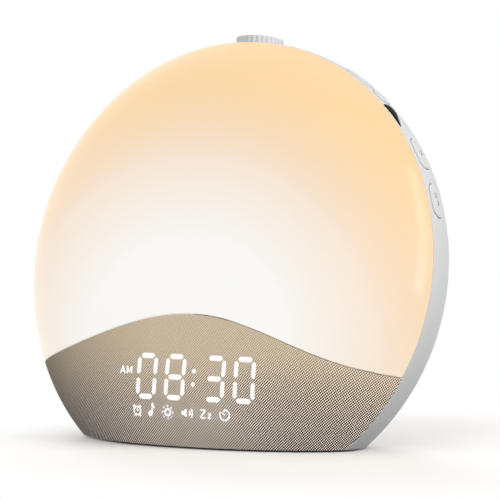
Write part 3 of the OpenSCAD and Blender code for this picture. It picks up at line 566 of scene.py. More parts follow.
def vector_maths(tree, operation, inputs, output=0):
    return value(tree, "ShaderNodeVectorMath", inputs, output, operation=operation)


def scaled(tree, vector, factor):
    return vector_maths(tree, "SCALE", {0: vector, "Scale": factor})


def mixed(tree, factor, a, b):
    return value(tree, "ShaderNodeMix", {0: factor, 6: a, 7: b}, 2, data_type="RGBA")


def opaque(colour, factor=1.0):
    return tuple(c * factor for c in colour) + (1.0,)


def group(name, inputs, outputs):
    """A shader group with its sockets made: its tree, its inputs' values and its end node."""
    tree = bpy.data.node_groups.new(name, "ShaderNodeTree")
    for label, default in inputs.items():
        kind = "Float" if isinstance(default, float) else "Color" if len(default) == 4 else "Vector"
        socket = tree.interface.new_socket(name=label, in_out="INPUT", socket_type="NodeSocket" + kind)
        socket.default_value = default
    for label in outputs:
        kind = "Color" if label == "Colour" else "Float"
        tree.interface.new_socket(name=label, in_out="OUTPUT", socket_type="NodeSocket" + kind)
    start = tree.nodes.new("NodeGroupInput")
    given = {socket.name: Value(socket) for socket in start.outputs if socket.name}
    return tree, given, tree.nodes.new("NodeGroupOutput")


def mould_grain():
    """Fine grain of moulded plastic, with faint wide mottling."""
    inputs = {"Colour": (0.8, 0.8, 0.8, 1.0), "Shade": (0.7, 0.7, 0.7, 1.0), "Scale": 1500.0}
    tree, given, end = group("Mould Grain", inputs, ("Colour", "Roughness", "Height"))
    fine = noise(tree, given["Scale"])
    mottling = noise(tree, 45.0, 3.0, roughness=0.6).ramp(0.35, 0.65)
    colour = mixed(tree, mottling, given["Colour"], given["Shade"])
    feed(end, {"Colour": colour, "Roughness": fine.between(0.5, 0.56), "Height": fine})
    return tree


def dash_weave():
    """Cloth of slanting floats: how high the light thread lies, and flecks."""
    inputs = {"Vector": (0.0, 0.0, 0.0), "Pitch": 0.32}
    tree, given, end = group("Dash Weave", inputs, ("Thread", "Fleck"))
    one = node(tree, "ShaderNodeMath", {0: 1.0, 1: given["Pitch"]}, operation="DIVIDE")
    threads = scaled(tree, given["Vector"], Value(one.outputs[0]))

    def wave_along(across, along):
        """A cosine that repeats this often per thread, across and along the cloth."""
        run = vector_maths(tree, "DOT_PRODUCT", {0: threads, 1: (across, along, 0.0)}, "Value")
        return (run * (2 * math.pi)).maths("COSINE")

    lane, dash = wave_along(-0.25, 0.25), wave_along(0.376, 0.148)
    floats = (lane * 0.55 + dash * 0.45).ramp(-0.25, 0.55, kind="SMOOTHSTEP")
    strand = (wave_along(0.5, 0.5) + wave_along(0.5, -0.5)) * 0.07
    feed(end, {"Thread": floats + strand, "Fleck": noise(tree, 0.35, 3.0, threads)})
    return tree


def brushed_metal():
    """Fine lines and stains of turned or rolled metal."""
    inputs = {"Colour": (0.6, 0.6, 0.6, 1.0), "Scale": 300.0}
    tree, given, end = group("Brushed Metal", inputs, ("Colour", "Roughness", "Height"))
    drawn_out = value(tree, "ShaderNodeMapping", {"Vector": own_place(tree), "Scale": (0.15, 1.0, 1.0)})
    streak = noise(tree, given["Scale"], 4.0, drawn_out)
    stained = scaled(tree, given["Colour"], noise(tree, 90.0, 3.0).between(0.78, 1.08))
    feed(end, {"Colour": stained, "Roughness": streak.between(0.22, 0.45), "Height": streak})
    return tree


def effect(tree, build, inputs):
    """A shared group, built once, placed in a material with its own values."""
    name = build.__name__.replace("_", " ").title()
    shared = bpy.data.node_groups.get(name) or build()
    made = node(tree, "ShaderNodeGroup", inputs, node_tree=shared)
    return {socket.name: Value(socket) for socket in made.outputs}


def new_material(name):
    material = bpy.data.materials.new(name)
    material.use_nodes = True
    tree = material.node_tree
    return material, tree, next(n for n in tree.nodes if n.type == "BSDF_PRINCIPLED")


def bumped(tree, height, strength, distance):
    return value(tree, "ShaderNodeBump", {"Height": height, "Strength": strength, "Distance": distance * MM})


# ---- Finishes ----


def moulded(name, colour, shade=0.94, scale=1500.0, relief=0.15, sheen=0.0, coat=0.0):
    """A moulded plastic, painted board or rubber."""
    if name in bpy.data.materials:
        return bpy.data.materials[name]
    material, tree, shader = new_material(name)
    inputs = {"Colour": opaque(colour), "Shade": opaque(colour, shade), "Scale": scale}
    grain = effect(tree, mould_grain, inputs)
    feed(shader, {
        "Base Color": grain["Colour"], "Roughness": grain["Roughness"], "Sheen Weight": sheen,
        "Coat Weight": coat, "Coat Roughness": 0.12, "Normal": bumped(tree, grain["Height"], relief, 0.05),
    })
    return material


PEARL_WHITE = ("Pearl White", (0.67, 0.675, 0.68), 0.985, 900.0, 0.02)


def metal(name, colour, scale=300.0):
    material, tree, shader = new_material(name)
    lines = effect(tree, brushed_metal, {"Colour": opaque(colour), "Scale": scale})
    feed(shader, {
        "Base Color": lines["Colour"], "Roughness": lines["Roughness"], "Metallic": 1.0,
        "Normal": bumped(tree, lines["Height"], 0.1, 0.03),
    })
    return material


def face_place(tree):
    """Distances across and up the face from the rim's centre, in millimetres."""
    away = vector_maths(tree, "SUBTRACT", {0: own_place(tree), 1: tuple(RIM)})
    return [vector_maths(tree, "DOT_PRODUCT", {0: away, 1: tuple(axis / MM)}, "Value") for axis in (ACROSS, UP)]


def opal_glow():
    """Lit opal plastic: near white low in the middle, apricot towards the top and the right edge."""
    glow = settings("clock_glow")
    # The glow's heart, in millimetres below the centre; under it the glow is flatter by this share
    heart_below, below_share = 33.0, 0.35
    narrower, taller, lean_right = 0.96, 1.035, 0.03
    core_until, edge_from = 40.0, 112.0
    material, tree, shader = new_material("Opal Glow")
    x, up = face_place(tree)
    rise = up + heart_below
    wide, high = x * narrower, rise.maths("MAXIMUM", rise * below_share) * taller
    away = (wide * wide + high * high).maths("SQRT") + x * lean_right
    ramp = node(tree, "ShaderNodeValToRGB", {"Fac": away.ramp(core_until, edge_from)})
    ramp.color_ramp.interpolation = "B_SPLINE"
    stops = ramp.color_ramp.elements
    stops[0].position, stops[0].color = 0.1, opaque(glow.core)
    stops[1].position, stops[1].color = 1.0, opaque(glow.edge)
    for place, colour in ((0.49, glow.dawn), (0.7, glow.apricot)):
        stops.new(place).color = opaque(colour)
    clouded = scaled(tree, Value(ramp.outputs["Color"]), noise(tree, 14.0).between(0.985, 1.015))
    feed(shader, {
        "Base Color": scaled(tree, clouded, 1 - glow.lit_share), "Roughness": noise(tree, 900.0).between(0.4, 0.5),
        "Emission Color": clouded, "Emission Strength": glow.lit_share, "Specular IOR Level": 0.2,
        "Coat Weight": 0.55, "Coat Roughness": 0.1,
    })
    return material


def taupe_cloth():
    """Cloth of slanting floats with light and shade painted into its colour: warmer near the wave where the glow's
    painted spill lights it, greyer in painted shade towards the foot, darker in painted shade towards the left and
    the lower right, and with the weave's painted shade bolder towards the foot and the right.
    """
    cloth = settings("clock_cloth")
    material, tree, shader = new_material("Taupe Cloth")
    layout = scaled(tree, value(tree, "ShaderNodeUVMap", uv_map="Weave"), WEAVE_SPAN)
    weave = effect(tree, dash_weave, {"Vector": layout, "Pitch": cloth.pitch / MM})
    # Each ramp starts and ends at millimetres across or up the face
    x, up = face_place(tree)
    # Painted light and shade: warmer where the glow's spill is painted near the wave, greyer in painted shade towards
    # the foot
    base = mixed(tree, up.ramp(-30.0, -68.0, kind="SMOOTHSTEP"), opaque(cloth.warm), opaque(cloth.grey))
    down, right = up.ramp(-36.0, -62.0), x.ramp(-60.0, 75.0, 0.0, 0.75)
    # Painted shade: darker towards the left, a little darker towards the right, and darker still low on the right
    shade = x.ramp(-75.0, -15.0, 0.62, 1.0) * x.ramp(20.0, 75.0, 1.0, 0.95)
    shade *= down * x.ramp(10.0, 60.0, 0.0, -0.2) + 1.0
    # Painted light and shade: the weave's light and dark is painted bolder towards the foot and the right, for how
    # the light falls across the threads there
    painted_weave_contrast = right * (down * 0.75 + 0.25) + (down * 0.82 + 0.15)
    # The dark between the floats is partly the darker thread and partly painted shade between the threads
    threads = painted_weave_contrast * (weave["Thread"] * 2.5 + -0.93) + 1.0
    flecks = weave["Fleck"] * 0.3 + 0.85
    feed(shader, {
        "Base Color": scaled(tree, base, threads * flecks * shade), "Roughness": 0.9, "Specular IOR Level": 0.15,
        "Sheen Weight": 0.05, "Sheen Roughness": 0.5, "Normal": bumped(tree, weave["Thread"], 0.3, 0.06),
    })
    return material


def lit_strokes():
    """Light that comes through the cloth, fading at each stroke's edge."""
    material, tree, shader = new_material("Lit Strokes")
    fade = value(tree, "ShaderNodeAttribute", None, "Fac", attribute_name="Fade", attribute_type="GEOMETRY")
    light = scaled(tree, tuple(settings("clock_display").light), noise(tree, 400.0).between(0.94, 1.04))
    feed(shader, {
        "Base Color": (0.1, 0.1, 0.1, 1.0), "Roughness": 0.8, "Specular IOR Level": 0.0,
        "Emission Color": light, "Emission Strength": 1.0, "Alpha": fade.ramp(0.0, 1.0, kind="SMOOTHSTEP"),
    })
    return material


def dark_glass():
    material, tree, shader = new_material("Dark Glass")
    haze = noise(tree, 250.0, 3.0)
    colour = mixed(tree, haze, (0.004, 0.004, 0.005, 1.0), (0.012, 0.012, 0.013, 1.0))
    feed(shader, {"Base Color": colour, "Roughness": haze.between(0.22, 0.36), "IOR": 1.05})
    return material


def circuit_board():
    """Green board with darker lanes between its copper fields."""
    material, tree, shader = new_material("Circuit Board")
    cells = value(tree, "ShaderNodeTexVoronoi", {"Vector": own_place(tree), "Scale": 260.0}, "Distance",
                  feature="DISTANCE_TO_EDGE", distance="MANHATTAN")
    field = cells.ramp(0.04, 0.1)
    feed(shader, {
        "Base Color": mixed(tree, field, (0.03, 0.26, 0.12, 1.0), (0.012, 0.13, 0.06, 1.0)),
        "Roughness": field.between(0.3, 0.45), "Normal": bumped(tree, field, 0.2, 0.05),
    })
    return material


# ---- Face: diffuser and cloth ----

WEAVE_SPAN = 290.0  # millimetres that the cloth's UV map covers each way


def reach(angles, limit, by):
    """How far the face runs along each angle before the rim or the wave stops it."""
    s, c = np.sin(angles), np.cos(angles)
    run = first_past(np.zeros_like(angles), np.full_like(angles, limit), lambda r: r * c < wave(r * s) + by)
    return np.where(limit * c < wave(limit * s) + by, run, limit)


def make_diffuser():
    shell = settings("clock_shell")
    foot = shell.wave_low + shell.seam
    half = math.sqrt(shell.face_radius**2 - foot**2)
    # Even angles, with those of the wave's two ends among them
    corners = [math.atan2(side, foot) % (2 * math.pi) for side in (half, -half)]
    columns, least_step = 352, 0.008
    even = np.arange(columns) * 2 * math.pi / columns
    angles = np.array(sorted([a for a in even if min(abs(a - c) for c in corners) > least_step] + corners))
    s, c = np.sin(angles), np.cos(angles)
    outer = reach(angles, rim_of(0.0), shell.seam)
    inner = np.minimum(outer, rim_of(shell.wall))

    def surface(r, inset):
        return placed(r * s, r * c, face_height(r, inset))

    steps = np.linspace(0, 1, 53)[1:]
    spacing = 0.3 * steps + 0.7 * np.sin(steps * math.pi / 2)
    rings = [surface((outer - 0.6 * shell.edge) * share, 0.0) for share in spacing]
    corner, foot_points = surface(outer, 0.0), surface(inner, shell.wall)
    turned_in = corner + unit(foot_points - corner) * shell.edge
    rings += rounded(rings[-1], corner, turned_in, (0.2, 0.4, 0.6, 0.8, 1.0))
    rings.append(foot_points)
    rings += [surface(inner * share, shell.wall) for share in spacing[-9::-8]]
    first, last = (placed(0.0, 0.0, shell.bulge - inset)[0] for inset in (0.0, shell.wall))
    return stacked_rings("diffuser_shell", rings, first, last)


def arc_length(r):
    """Distance over the face from its middle to a radius, by table."""
    grid = np.linspace(0, rim_of(0.0), 800)
    lengths = np.concatenate([[0], np.cumsum(np.hypot(np.diff(grid), np.diff(face_height(grid))))])
    return np.interp(r, grid, lengths)


def cloth_foot(x):
    """Where the cloth meets the level of the foot pad's top, at each x."""
    def above(up):
        return RIM.z + up * UP.z + face_height(np.hypot(x, up)) * OUT.z > PAD_TOP

    return first_past(np.full_like(x, -rim_of(0.0)), np.full_like(x, -40 * MM), above)


def cloth_grid(columns, rows):
    """Flat points of the cloth between its foot, the wave and the rim's two arcs."""
    shell = settings("clock_shell")
    radius = shell.face_radius
    ends_up, foot_up = shell.wave_low - shell.seam, (PAD_TOP - RIM.z) / UP.z
    top_half, foot_half = (math.sqrt(radius**2 - up**2) for up in (ends_up, foot_up))
    u, v = np.linspace(0, 1, columns), np.linspace(0, 1, rows)
    u = 0.55 * (0.5 - 0.5 * np.cos(u * math.pi)) + 0.45 * u  # closer together towards both ends
    top_x, foot_x = (2 * u - 1) * top_half, (2 * u - 1) * foot_half
    top = np.stack([top_x, wave(top_x) - shell.seam], -1)
    rim_up = -np.sqrt(np.maximum(radius**2 - foot_x**2, 0))
    foot = np.stack([foot_x, np.maximum(cloth_foot(foot_x), rim_up)], -1)
    foot[0, 1] = foot[-1, 1] = foot_up
    turn = np.interp(v, [0, 1], [math.atan2(foot_half, -foot_up), math.atan2(top_half, -ends_up)])
    right = np.stack([radius * np.sin(turn), -radius * np.cos(turn)], -1)
    left = right * [-1, 1]
    u, v = u[None, :, None], v[:, None, None]
    flat = (1 - v) * foot[None] + v * top[None] + (1 - u) * left[:, None] + u * right[:, None]
    return flat - ((1 - u) * (1 - v) * foot[0] + u * (1 - v) * foot[-1] + (1 - u) * v * top[0] + u * v * top[-1])


def make_cloth():
    """The cloth with its weave's UV map, and its flat size."""
    radius = settings("clock_shell").face_radius
    columns, rows, rolled = 221, 101, (0.12, 0.3, 0.6)
    x, up = np.moveaxis(cloth_grid(columns, rows), -1, 0)
    edge_x, edge_up = x[-1], up[-1]
    r = np.hypot(x, up)
    scale = np.where(r > radius, radius / r, 1.0)
    x, up, r = x * scale, up * scale, np.minimum(r, radius)
    edge_height = face_height(np.hypot(edge_x, edge_up))
    # The cloth's top edge rolls into the seam
    roll = [placed(edge_x, edge_up, edge_height - back * MM) for back in rolled]
    points = np.concatenate([placed(x, up, face_height(r)), *roll])
    faces = band_faces(rows + len(rolled), columns, closed=False)
    obj = mesh_object("cloth_front", points, faces, closed=False)
    stretch = np.where(r > 1e-6, arc_length(r) / np.maximum(r, 1e-6), 1.0)
    flat_x, flat_up = x * stretch, up * stretch
    last_x, last_up = flat_x[-1], flat_up[-1]
    flat_x = np.concatenate([flat_x.reshape(-1), *[last_x] * 3])
    flat_up = np.concatenate([flat_up.reshape(-1), *[last_up + k * 0.2 * MM for k in (1, 2, 3)]])
    # It is pulled tighter towards its right end, so its threads lie further apart there
    run = flat_x / MM
    weave_x = (1.03 * run - 4.2 * np.log(np.cosh((run - 45) / 28))) * MM
    layout = np.stack([weave_x, 1.15 * flat_up], -1) / (WEAVE_SPAN * MM) + 0.5
    loops = np.empty(len(obj.data.loops), np.int32)
    obj.data.loops.foreach_get("vertex_index", loops)
    weave = obj.data.uv_layers.new(name="Weave")
    weave.data.foreach_set("uv", layout[loops].astype(np.float32).reshape(-1))
    return obj, (float(np.ptp(flat_x)), float(np.ptp(flat_up)))


class CLOCK_OT_diffuser(bpy.types.Operator):
    """Make the lit shell of the face"""

    bl_idname = "clock.diffuser"
    bl_label = "Diffuser"

    def execute(self, context):
        dress(smooth(make_diffuser(), 50), "casing", "opal_glow", opal_glow(), "diffuser")
        return {"FINISHED"}


class CLOCK_OT_cloth(bpy.types.Operator):
    """Stretch the cloth over the lower front"""

    bl_idname = "clock.cloth"
    bl_label = "Cloth"

    def execute(self, context):
        cloth, flat = make_cloth()
        dress(smooth(cloth, 80), "casing", "taupe_cloth", taupe_cloth(), "grille_cloth")
        return {"FINISHED"}


# ---- Casing, with its keys, window and knob ----

KEY_LENGTHS = {"key_1": 13.8 * MM, "key_2": 8.4 * MM, "key_3": 13.8 * MM, "key_4": 13.8 * MM}
KEY_WIDTH = 7.4 * MM
KEY_DEPTH = 6 * MM
KEY_GAP = 0.3 * MM
KEY_PROUD = 0.45 * MM
KEY_FOOT, KEY_EDGE, KEY_CROWN = -4.3 * MM, 0.4 * MM, 0.02 * MM
FLANGE_SIDES = mm((0.0, -4.6), (0.0, -3))
# Printed marks in millimetres from each key's middle: a width, then the points that a line runs through
KEY_MARKS = {
    "key_3": [(0.75, (-0.9, 0.1), (1.0, -0.3))],
    "key_4": [(0.28, (-3.1, -0.6), (-1.5, -1.1), (-1.0, -0.1), (-2.6, 0.5), (-3.1, -0.6)),
              (0.7, (0.2, 0.6), (1.2, 0.9)), (0.45, (1.2, 0.9), (2.2, -0.2))],
}
WINDOW_PLACE = {"angle": math.radians(45.7), "depth": 4.0 * MM}
WINDOW_HUB = (2 * MM, -0.6 * MM)
WINDOW_OUTLINE = drop(2.95 * MM, 0.35 * MM, 9.2 * MM, math.radians(-15.5), 0.34, math.radians(248))
SCREW_RADIUS = 68.017 * MM
SCREW_SPOTS = [(SCREW_RADIUS * math.sin(math.radians(a)), SCREW_RADIUS * math.cos(math.radians(a)))
               for a in (-50, 50, -112, 112)]
# Round bars at each screw, in millimetres: the radius, then the depths behind the rim at its ends
SCREW_BARS = {"screw_boss": (4.4, 14.2, 34), "head_tool": (3.1, 16.2, 60), "shank_tool": (1.8, 14, 17)}
TURRET_RADIUS, TURRET_FOOT, TURRET_TOP, TURRET_EDGE = 11.2 * MM, 88.1 * MM, 91.72 * MM, 0.4 * MM
WELL_PROFILE = mm((10.1, 90.5), (10.1, 91.4), (10.2, 91.6), (10.5, 91.8), (10.9, 94))
HUB_PROFILE = mm((5, 86), (5, 90.6))
VENT_COLUMNS, VENT_PITCH, VENTS_UP = range(-4, 5), 5.5 * MM, 22 * MM
VENT_OUTLINE = pill(20 * MM, 2.2 * MM, 24)
SOCKET_UP = -46 * MM
SOCKET_OUTLINE = pill(10.6 * MM, 4.9 * MM)
LEAST_FACES = 10000  # a casing with fewer has been lost in a cut


def key_surface(name):
    """The rim where a key sits, from the way it is pressed."""
    press = Vector(JOINTS[name + "_press"]["axis"])
    return rim_surface(math.atan2(-press.dot(ACROSS), -press.dot(UP)), KEY_DEPTH)


def onto_knob(obj):
    """Moves a form that is made round its own z axis onto the knob's axis."""
    rows = Matrix((ACROSS, -OUT, UP)).transposed().to_4x4()
    rows.translation = RIM - OUT * KNOB_DEPTH
    obj.data.transform(rows)
    return obj


def make_casing():
    """The casing's plain shell, open nowhere."""
    shell = settings("clock_shell")

    def profile(inset, steps):
        round_r = shell.back_round - inset
        start = math.asin((shell.seam - shell.back_swell) / round_r)
        arc = [(back_centre() + round_r * math.cos(a), -shell.back_swell - round_r * math.sin(a))
               for a in np.linspace(start, math.pi / 2, steps)]
        flat = np.linspace(back_centre(), 0, steps // 2)[1:-1]
        return arc + [(r, float(-back_depth(r, inset))) for r in flat]

    outer, inner = profile(0.0, 96), profile(shell.back_wall, 32)
    lip = shell.edge
    first = np.array(outer[0])
    follow = np.array([float(back_radius(shell.seam + lip)), -shell.seam - lip])
    soft = rounded(first - (lip, 0.0), first, follow, (0, 0.25, 0.5, 0.75, 1))
    rows = inner[::-1] + soft + [p for p in outer if p[1] < follow[1] - 0.05 * MM]
    up, across = circle(288).T
    rings = [placed(r * across, r * up, out) for r, out in rows]
    ends = [placed(0.0, 0.0, float(-back_depth(0.0, inset)))[0] for inset in (shell.back_wall, 0.0)]
    return stacked_rings("casing_shell", rings, *ends)


def casing_tools():
    """Cutters for the keys, the window, the knob's well, the vents and the socket."""
    tools = [studded("key_tool", key_surface(name), pill(length, KEY_WIDTH),
                     mouth(-6 * MM, 0.22 * MM, 0.32 * MM, KEY_GAP)) for name, length in KEY_LENGTHS.items()]
    tools.append(studded("window_tool", rim_surface(**WINDOW_PLACE), WINDOW_OUTLINE,
                         mouth(-5 * MM, 0.1 * MM, 0.15 * MM, 0.1 * MM), centre=WINDOW_HUB))
    tools += [onto_knob(turned("well_tool", WELL_PROFILE)), onto_knob(turned("hub_tool", HUB_PROFILE, 48))]
    for column in VENT_COLUMNS:
        tools.append(studded("vent_tool", back_surface(column * VENT_PITCH, VENTS_UP),
                             lambda grow: VENT_OUTLINE(grow)[:, ::-1], mouth(-8 * MM, 0.4 * MM, 0.5 * MM)))
    tools.append(studded("socket_tool", back_surface(0.0, SOCKET_UP), SOCKET_OUTLINE,
                         mouth(-8 * MM, 0.5 * MM, 0.6 * MM)))
    return tools


def ground_tool():
    """A block that cuts the casing off at the level of the foot pad's top."""
    mesh = bpy.data.meshes.new("ground")
    work = bmesh.new()
    bmesh.ops.create_cube(work, size=0.4)
    bmesh.ops.translate(work, verts=work.verts, vec=(0, 0, PAD_TOP - 0.2))
    work.to_mesh(mesh)
    work.free()
    return new_object("ground_tool", mesh)


class CLOCK_OT_casing(bpy.types.Operator):
    """Make the rear casing with its key holes, window, knob well, vents and screw wells"""

    bl_idname = "clock.casing"
    bl_label = "Casing"

    def execute(self, context):
        casing = make_casing()
        top = [(TURRET_RADIUS - inwards, TURRET_TOP - down) for inwards, down in quarter(TURRET_EDGE)]
        turret = onto_knob(turned("turret", [(TURRET_RADIUS, TURRET_FOOT)] + top))

        def bars(name):
            return [post(name, spot, *mm(SCREW_BARS[name])[0]) for spot in SCREW_SPOTS]

        combine(casing, "UNION", [turret] + bars("screw_boss"))
        for tools in (casing_tools(), bars("head_tool"), bars("shank_tool"), [ground_tool()]):
            combine(casing, "DIFFERENCE", tools)
        if len(casing.data.polygons) < LEAST_FACES:
            raise RuntimeError("a cut has removed the casing")
        dress(smooth(casing), "casing", "pearl_white", moulded(*PEARL_WHITE), "rear_housing")
        return {"FINISHED"}


class CLOCK_OT_keys(bpy.types.Operator):
    """Make the four keys in the rim, with their marks"""

    bl_idname = "clock.keys"
    bl_label = "Keys"

    def execute(self, context):
        ink = moulded("Key Print", (0.16, 0.17, 0.19), 0.85, 900.0, 0.05)
        for name, length in KEY_LENGTHS.items():
            place = key_surface(name)
            key = studded(name + "_cap", place, pill(length, KEY_WIDTH), eased(KEY_FOOT, KEY_EDGE, KEY_PROUD),
                          crown=KEY_CROWN)
            flange = studded(name + "_flange", place, pill(length - 1 * MM, KEY_WIDTH + 2.4 * MM), FLANGE_SIDES)
            dress(smooth(joined([key, flange])), name, "pearl_white", moulded(*PEARL_WHITE), name)
        for name, lines in KEY_MARKS.items():
            strokes = [(a, b, width) for width, *points in lines for a, b in zip(points, points[1:])]
            mark = joined([self.stroke(name, index, *line) for index, line in enumerate(strokes)])
            mark.name = name + "_mark"
            dress(smooth(mark), name, "part_black", ink)
        return {"FINISHED"}

    def stroke(self, name, index, a, b, width):
        """A printed stroke; each stands a hair higher than the one before it."""
        start, end = np.array(a) * MM, np.array(b) * MM
        run = end - start
        turn = turn_by(math.atan2(run[1], run[0]))

        def at(points, height):
            return key_surface(name)(points @ turn + (start + end) / 2, height)

        sides = [(0.0, KEY_PROUD - 0.1 * MM), (0.0, KEY_PROUD + 0.05 * MM + index * 0.004 * MM)]
        outline = pill(float(np.linalg.norm(run)) + width * MM, width * MM, 16)
        return studded(name + "_stroke", at, outline, sides)


class CLOCK_OT_window(bpy.types.Operator):
    """Make the dark drop-shaped pane of the light sensor"""

    bl_idname = "clock.window"
    bl_label = "Sensor window"

    def execute(self, context):
        sides = eased(-2.6 * MM, 0.2 * MM, 0.06 * MM)
        pane = studded("window_pane", rim_surface(**WINDOW_PLACE), WINDOW_OUTLINE, sides, centre=WINDOW_HUB)
        dress(smooth(pane), "casing", "window_black", dark_glass(), "sensor_window")
        return {"FINISHED"}


def rib_tree():
    """Ribs that stand round a turned form: tapered bars on a circle, each flattened by Depth."""
    tree = bpy.data.node_groups.new("Knob Ribs", "GeometryNodeTree")
    kinds = {"Geometry": "Geometry", "Count": "Int", "Radius": "Float", "Bottom": "Float", "Top": "Float",
             "Width": "Float", "Depth": "Float", "Material": "Material"}
    for label, kind in kinds.items():
        tree.interface.new_socket(name=label, in_out="INPUT", socket_type="NodeSocket" + kind)
    tree.interface.new_socket(name="Geometry", in_out="OUTPUT", socket_type="NodeSocketGeometry")
    start = tree.nodes.new("NodeGroupInput")
    given = {label: Value(start.outputs[label]) for label in kinds}
    foot, head = (value(tree, "ShaderNodeCombineXYZ", {"Z": given[end]}) for end in ("Bottom", "Top"))
    line = value(tree, "GeometryNodeCurvePrimitiveLine", {"Start": foot, "End": head})
    dense = value(tree, "GeometryNodeResampleCurve", {"Curve": line, "Count": 14})
    along = value(tree, "GeometryNodeSplineParameter", output="Factor")
    from_middle = (along * 2.0 + -1.0).maths("ABSOLUTE")
    taper = (from_middle.maths("POWER", 9.0) * -1.0 + 1.0001).maths("SQRT")
    shaped = value(tree, "GeometryNodeSetCurveRadius", {"Curve": dense, "Radius": taper})
    section = value(tree, "GeometryNodeCurvePrimitiveCircle", {"Resolution": 14, "Radius": given["Width"]})
    rib = node(tree, "GeometryNodeCurveToMesh", {"Curve": shaped, "Profile Curve": section, "Fill Caps": True})
    if "Scale" in rib.inputs:
        feed(rib, {"Scale": taper})
    spots = value(tree, "GeometryNodeMeshCircle", {"Vertices": given["Count"], "Radius": given["Radius"]})
    outwards = {"Vector": value(tree, "GeometryNodeInputPosition")}
    facing = value(tree, "FunctionNodeAlignRotationToVector", outwards, axis="X")
    flatten = value(tree, "ShaderNodeCombineXYZ", {"X": given["Depth"], "Y": 1.0, "Z": 1.0})
    ribs = value(tree, "GeometryNodeInstanceOnPoints",
                 {"Points": spots, "Instance": Value(rib.outputs[0]), "Rotation": facing, "Scale": flatten})
    both = feed(node(tree, "GeometryNodeJoinGeometry", {0: ribs}), {0: given["Geometry"]})
    solid = value(tree, "GeometryNodeRealizeInstances", {0: Value(both.outputs[0])})
    finish = value(tree, "GeometryNodeSetMaterial", {"Geometry": solid, "Material": given["Material"]})
    feed(tree.nodes.new("NodeGroupOutput"), {0: finish})
    return tree


def with_nodes(obj, tree, values):
    """Runs a geometry tree on the object, with its inputs set by their sockets' identifiers."""
    change = obj.modifiers.new(tree.name, "NODES")
    change.node_group = tree
    for item in tree.interface.items_tree:
        if item.item_type == "SOCKET" and item.in_out == "INPUT" and item.name in values:
            change[item.identifier] = values[item.name]
    return baked(obj)


class CLOCK_OT_knob(bpy.types.Operator):
    """Make the ribbed knob on top"""

    bl_idname = "clock.knob"
    bl_label = "Knob"

    def execute(self, context):
        knob = settings("clock_knob")
        finish = moulded("Knob Pearl", (0.66, 0.665, 0.67), 0.97, 1600.0, 0.02)
        top, skirt, edge, sunk = 95.42 * MM, 4.2 * MM, 0.9 * MM, 0.1 * MM
        hub_r, hub_foot, bevel, rib_share = 4.6 * MM, 87.5 * MM, 0.2 * MM, 0.54
        foot = top - skirt
        roof = top - 1.6 * MM
        body_r = knob.radius - knob.groove
        hollow_r = body_r - 1.3 * MM
        profile = [(hub_r, hub_foot), (hub_r, roof), (hollow_r, roof), (hollow_r, foot),
                   (body_r - bevel, foot), (body_r, foot + bevel)]
        profile += [(body_r - inwards, top - down) for inwards, down in quarter(edge, 9)]
        profile += [(body_r * share, top) for share in (0.6, 0.3)]
        body = turned("knob_ribbed", profile, 112)
        rib_width = 2 * math.pi * knob.radius / knob.ribs * rib_share
        with_nodes(body, rib_tree(), {
            "Count": knob.ribs, "Radius": body_r - sunk, "Bottom": foot, "Top": top - sunk,
            "Width": rib_width, "Depth": (knob.groove + sunk) / rib_width, "Material": finish,
        })
        dress(smooth(onto_knob(body), 40), "knob", "pearl_white", finish, "knob")
        return {"FINISHED"}


# ---- Display, in millimetres: a shape is its lines of points, and whether they close ----

# Lit segments of each digit: top, upper right, lower right, bottom, lower left, upper left, middle
SEGMENTS = ["1111110", "0110000", "1101101", "1111001", "0110011",
            "1011011", "1011111", "1110000", "1111111", "1111011"]
SEGMENT_ENDS = [(-1, 1, 1, 1), (1, 1, 1, 0), (1, 0, 1, -1), (-1, -1, 1, -1), (-1, 0, -1, -1), (-1, 1, -1, 0),
                (-1, 0, 1, 0)]
DIGIT_HALF = np.array([3.8, 8.0])
DIGITS_AT = (-16.9, -3.8, 14.0, 27.1)
DIGITS_UP = -46.5
COLON_AT = 4.6
SLANT = math.tan(math.radians(1.5))
PICTOGRAMS_AT = (-21.2, -14.4, -6.7, 2.1, 10.6, 18.8)
PICTOGRAMS_UP = -60.2
# Ends of strokes, as shares of the half width: how far back from the tip, and how wide there
TAPERED = [(0.0, 0.3), (0.4, 0.72), (0.95, 1.0)]
CUT = [(0.0, 1.0)]


def filled(points):
    return [np.array(points, float)], True


def stroke(a, b, width, tip=CUT):
    """A bar between two points."""
    a, b = np.array(a, float), np.array(b, float)
    run = (b - a) / 2
    along = unit(run) * width / 2
    side = np.array([-along[1], along[0]])
    end = [run - along * back + side * share for back, share in tip[::-1]]
    end += [run - along * back - side * share for back, share in tip]
    return filled((a + b) / 2 + np.array(end + [-p for p in end]))


def path(*points, width=0.5):
    """Bars from each point to the next."""
    return [stroke(a, b, width) for a, b in zip(points, points[1:])]


def ring(r, start=0.0, end=360.0, count=28, width=0.5):
    full = end - start >= 360
    angles = np.radians(np.linspace(start, end, count, endpoint=not full))
    line = np.stack([np.cos(angles), np.sin(angles)], -1)
    return [line * (r + width / 2), line * (r - width / 2)], full


def moved(shapes, x, up, change=np.eye(2)):
    """Shapes changed by a matrix, then moved."""
    return [([line @ change + (x, up) for line in lines], full) for lines, full in shapes]


def split_outline(points, longest=1.2):
    """The outline with its long sides divided, so that they follow the face."""
    result = []
    for p, q in zip(points, np.roll(points, -1, 0)):
        parts = max(1, math.ceil(np.linalg.norm(q - p) / longest))
        result += [p + (q - p) * k / parts for k in range(parts)]
    return np.array(result)


def widened(points, by):
    """An outline moved outwards along its own corners' bisectors."""
    edges = unit(np.roll(points, -1, 0) - points)
    normals = np.stack([edges[:, 1], -edges[:, 0]], -1)
    mean = unit(normals + np.roll(normals, 1, 0))
    way = -1 if np.sum(mean * (points - points.mean(0))) < 0 else 1
    return points + way * mean * by


def facing_out(face, points):
    """The face with its corners, from the same first one, in the order that turns it to the viewer."""
    x, up = points[list(face)].T
    return face if np.sum(x * np.roll(up, -1) - up * np.roll(x, -1)) > 0 else face[:1] + face[:0:-1]


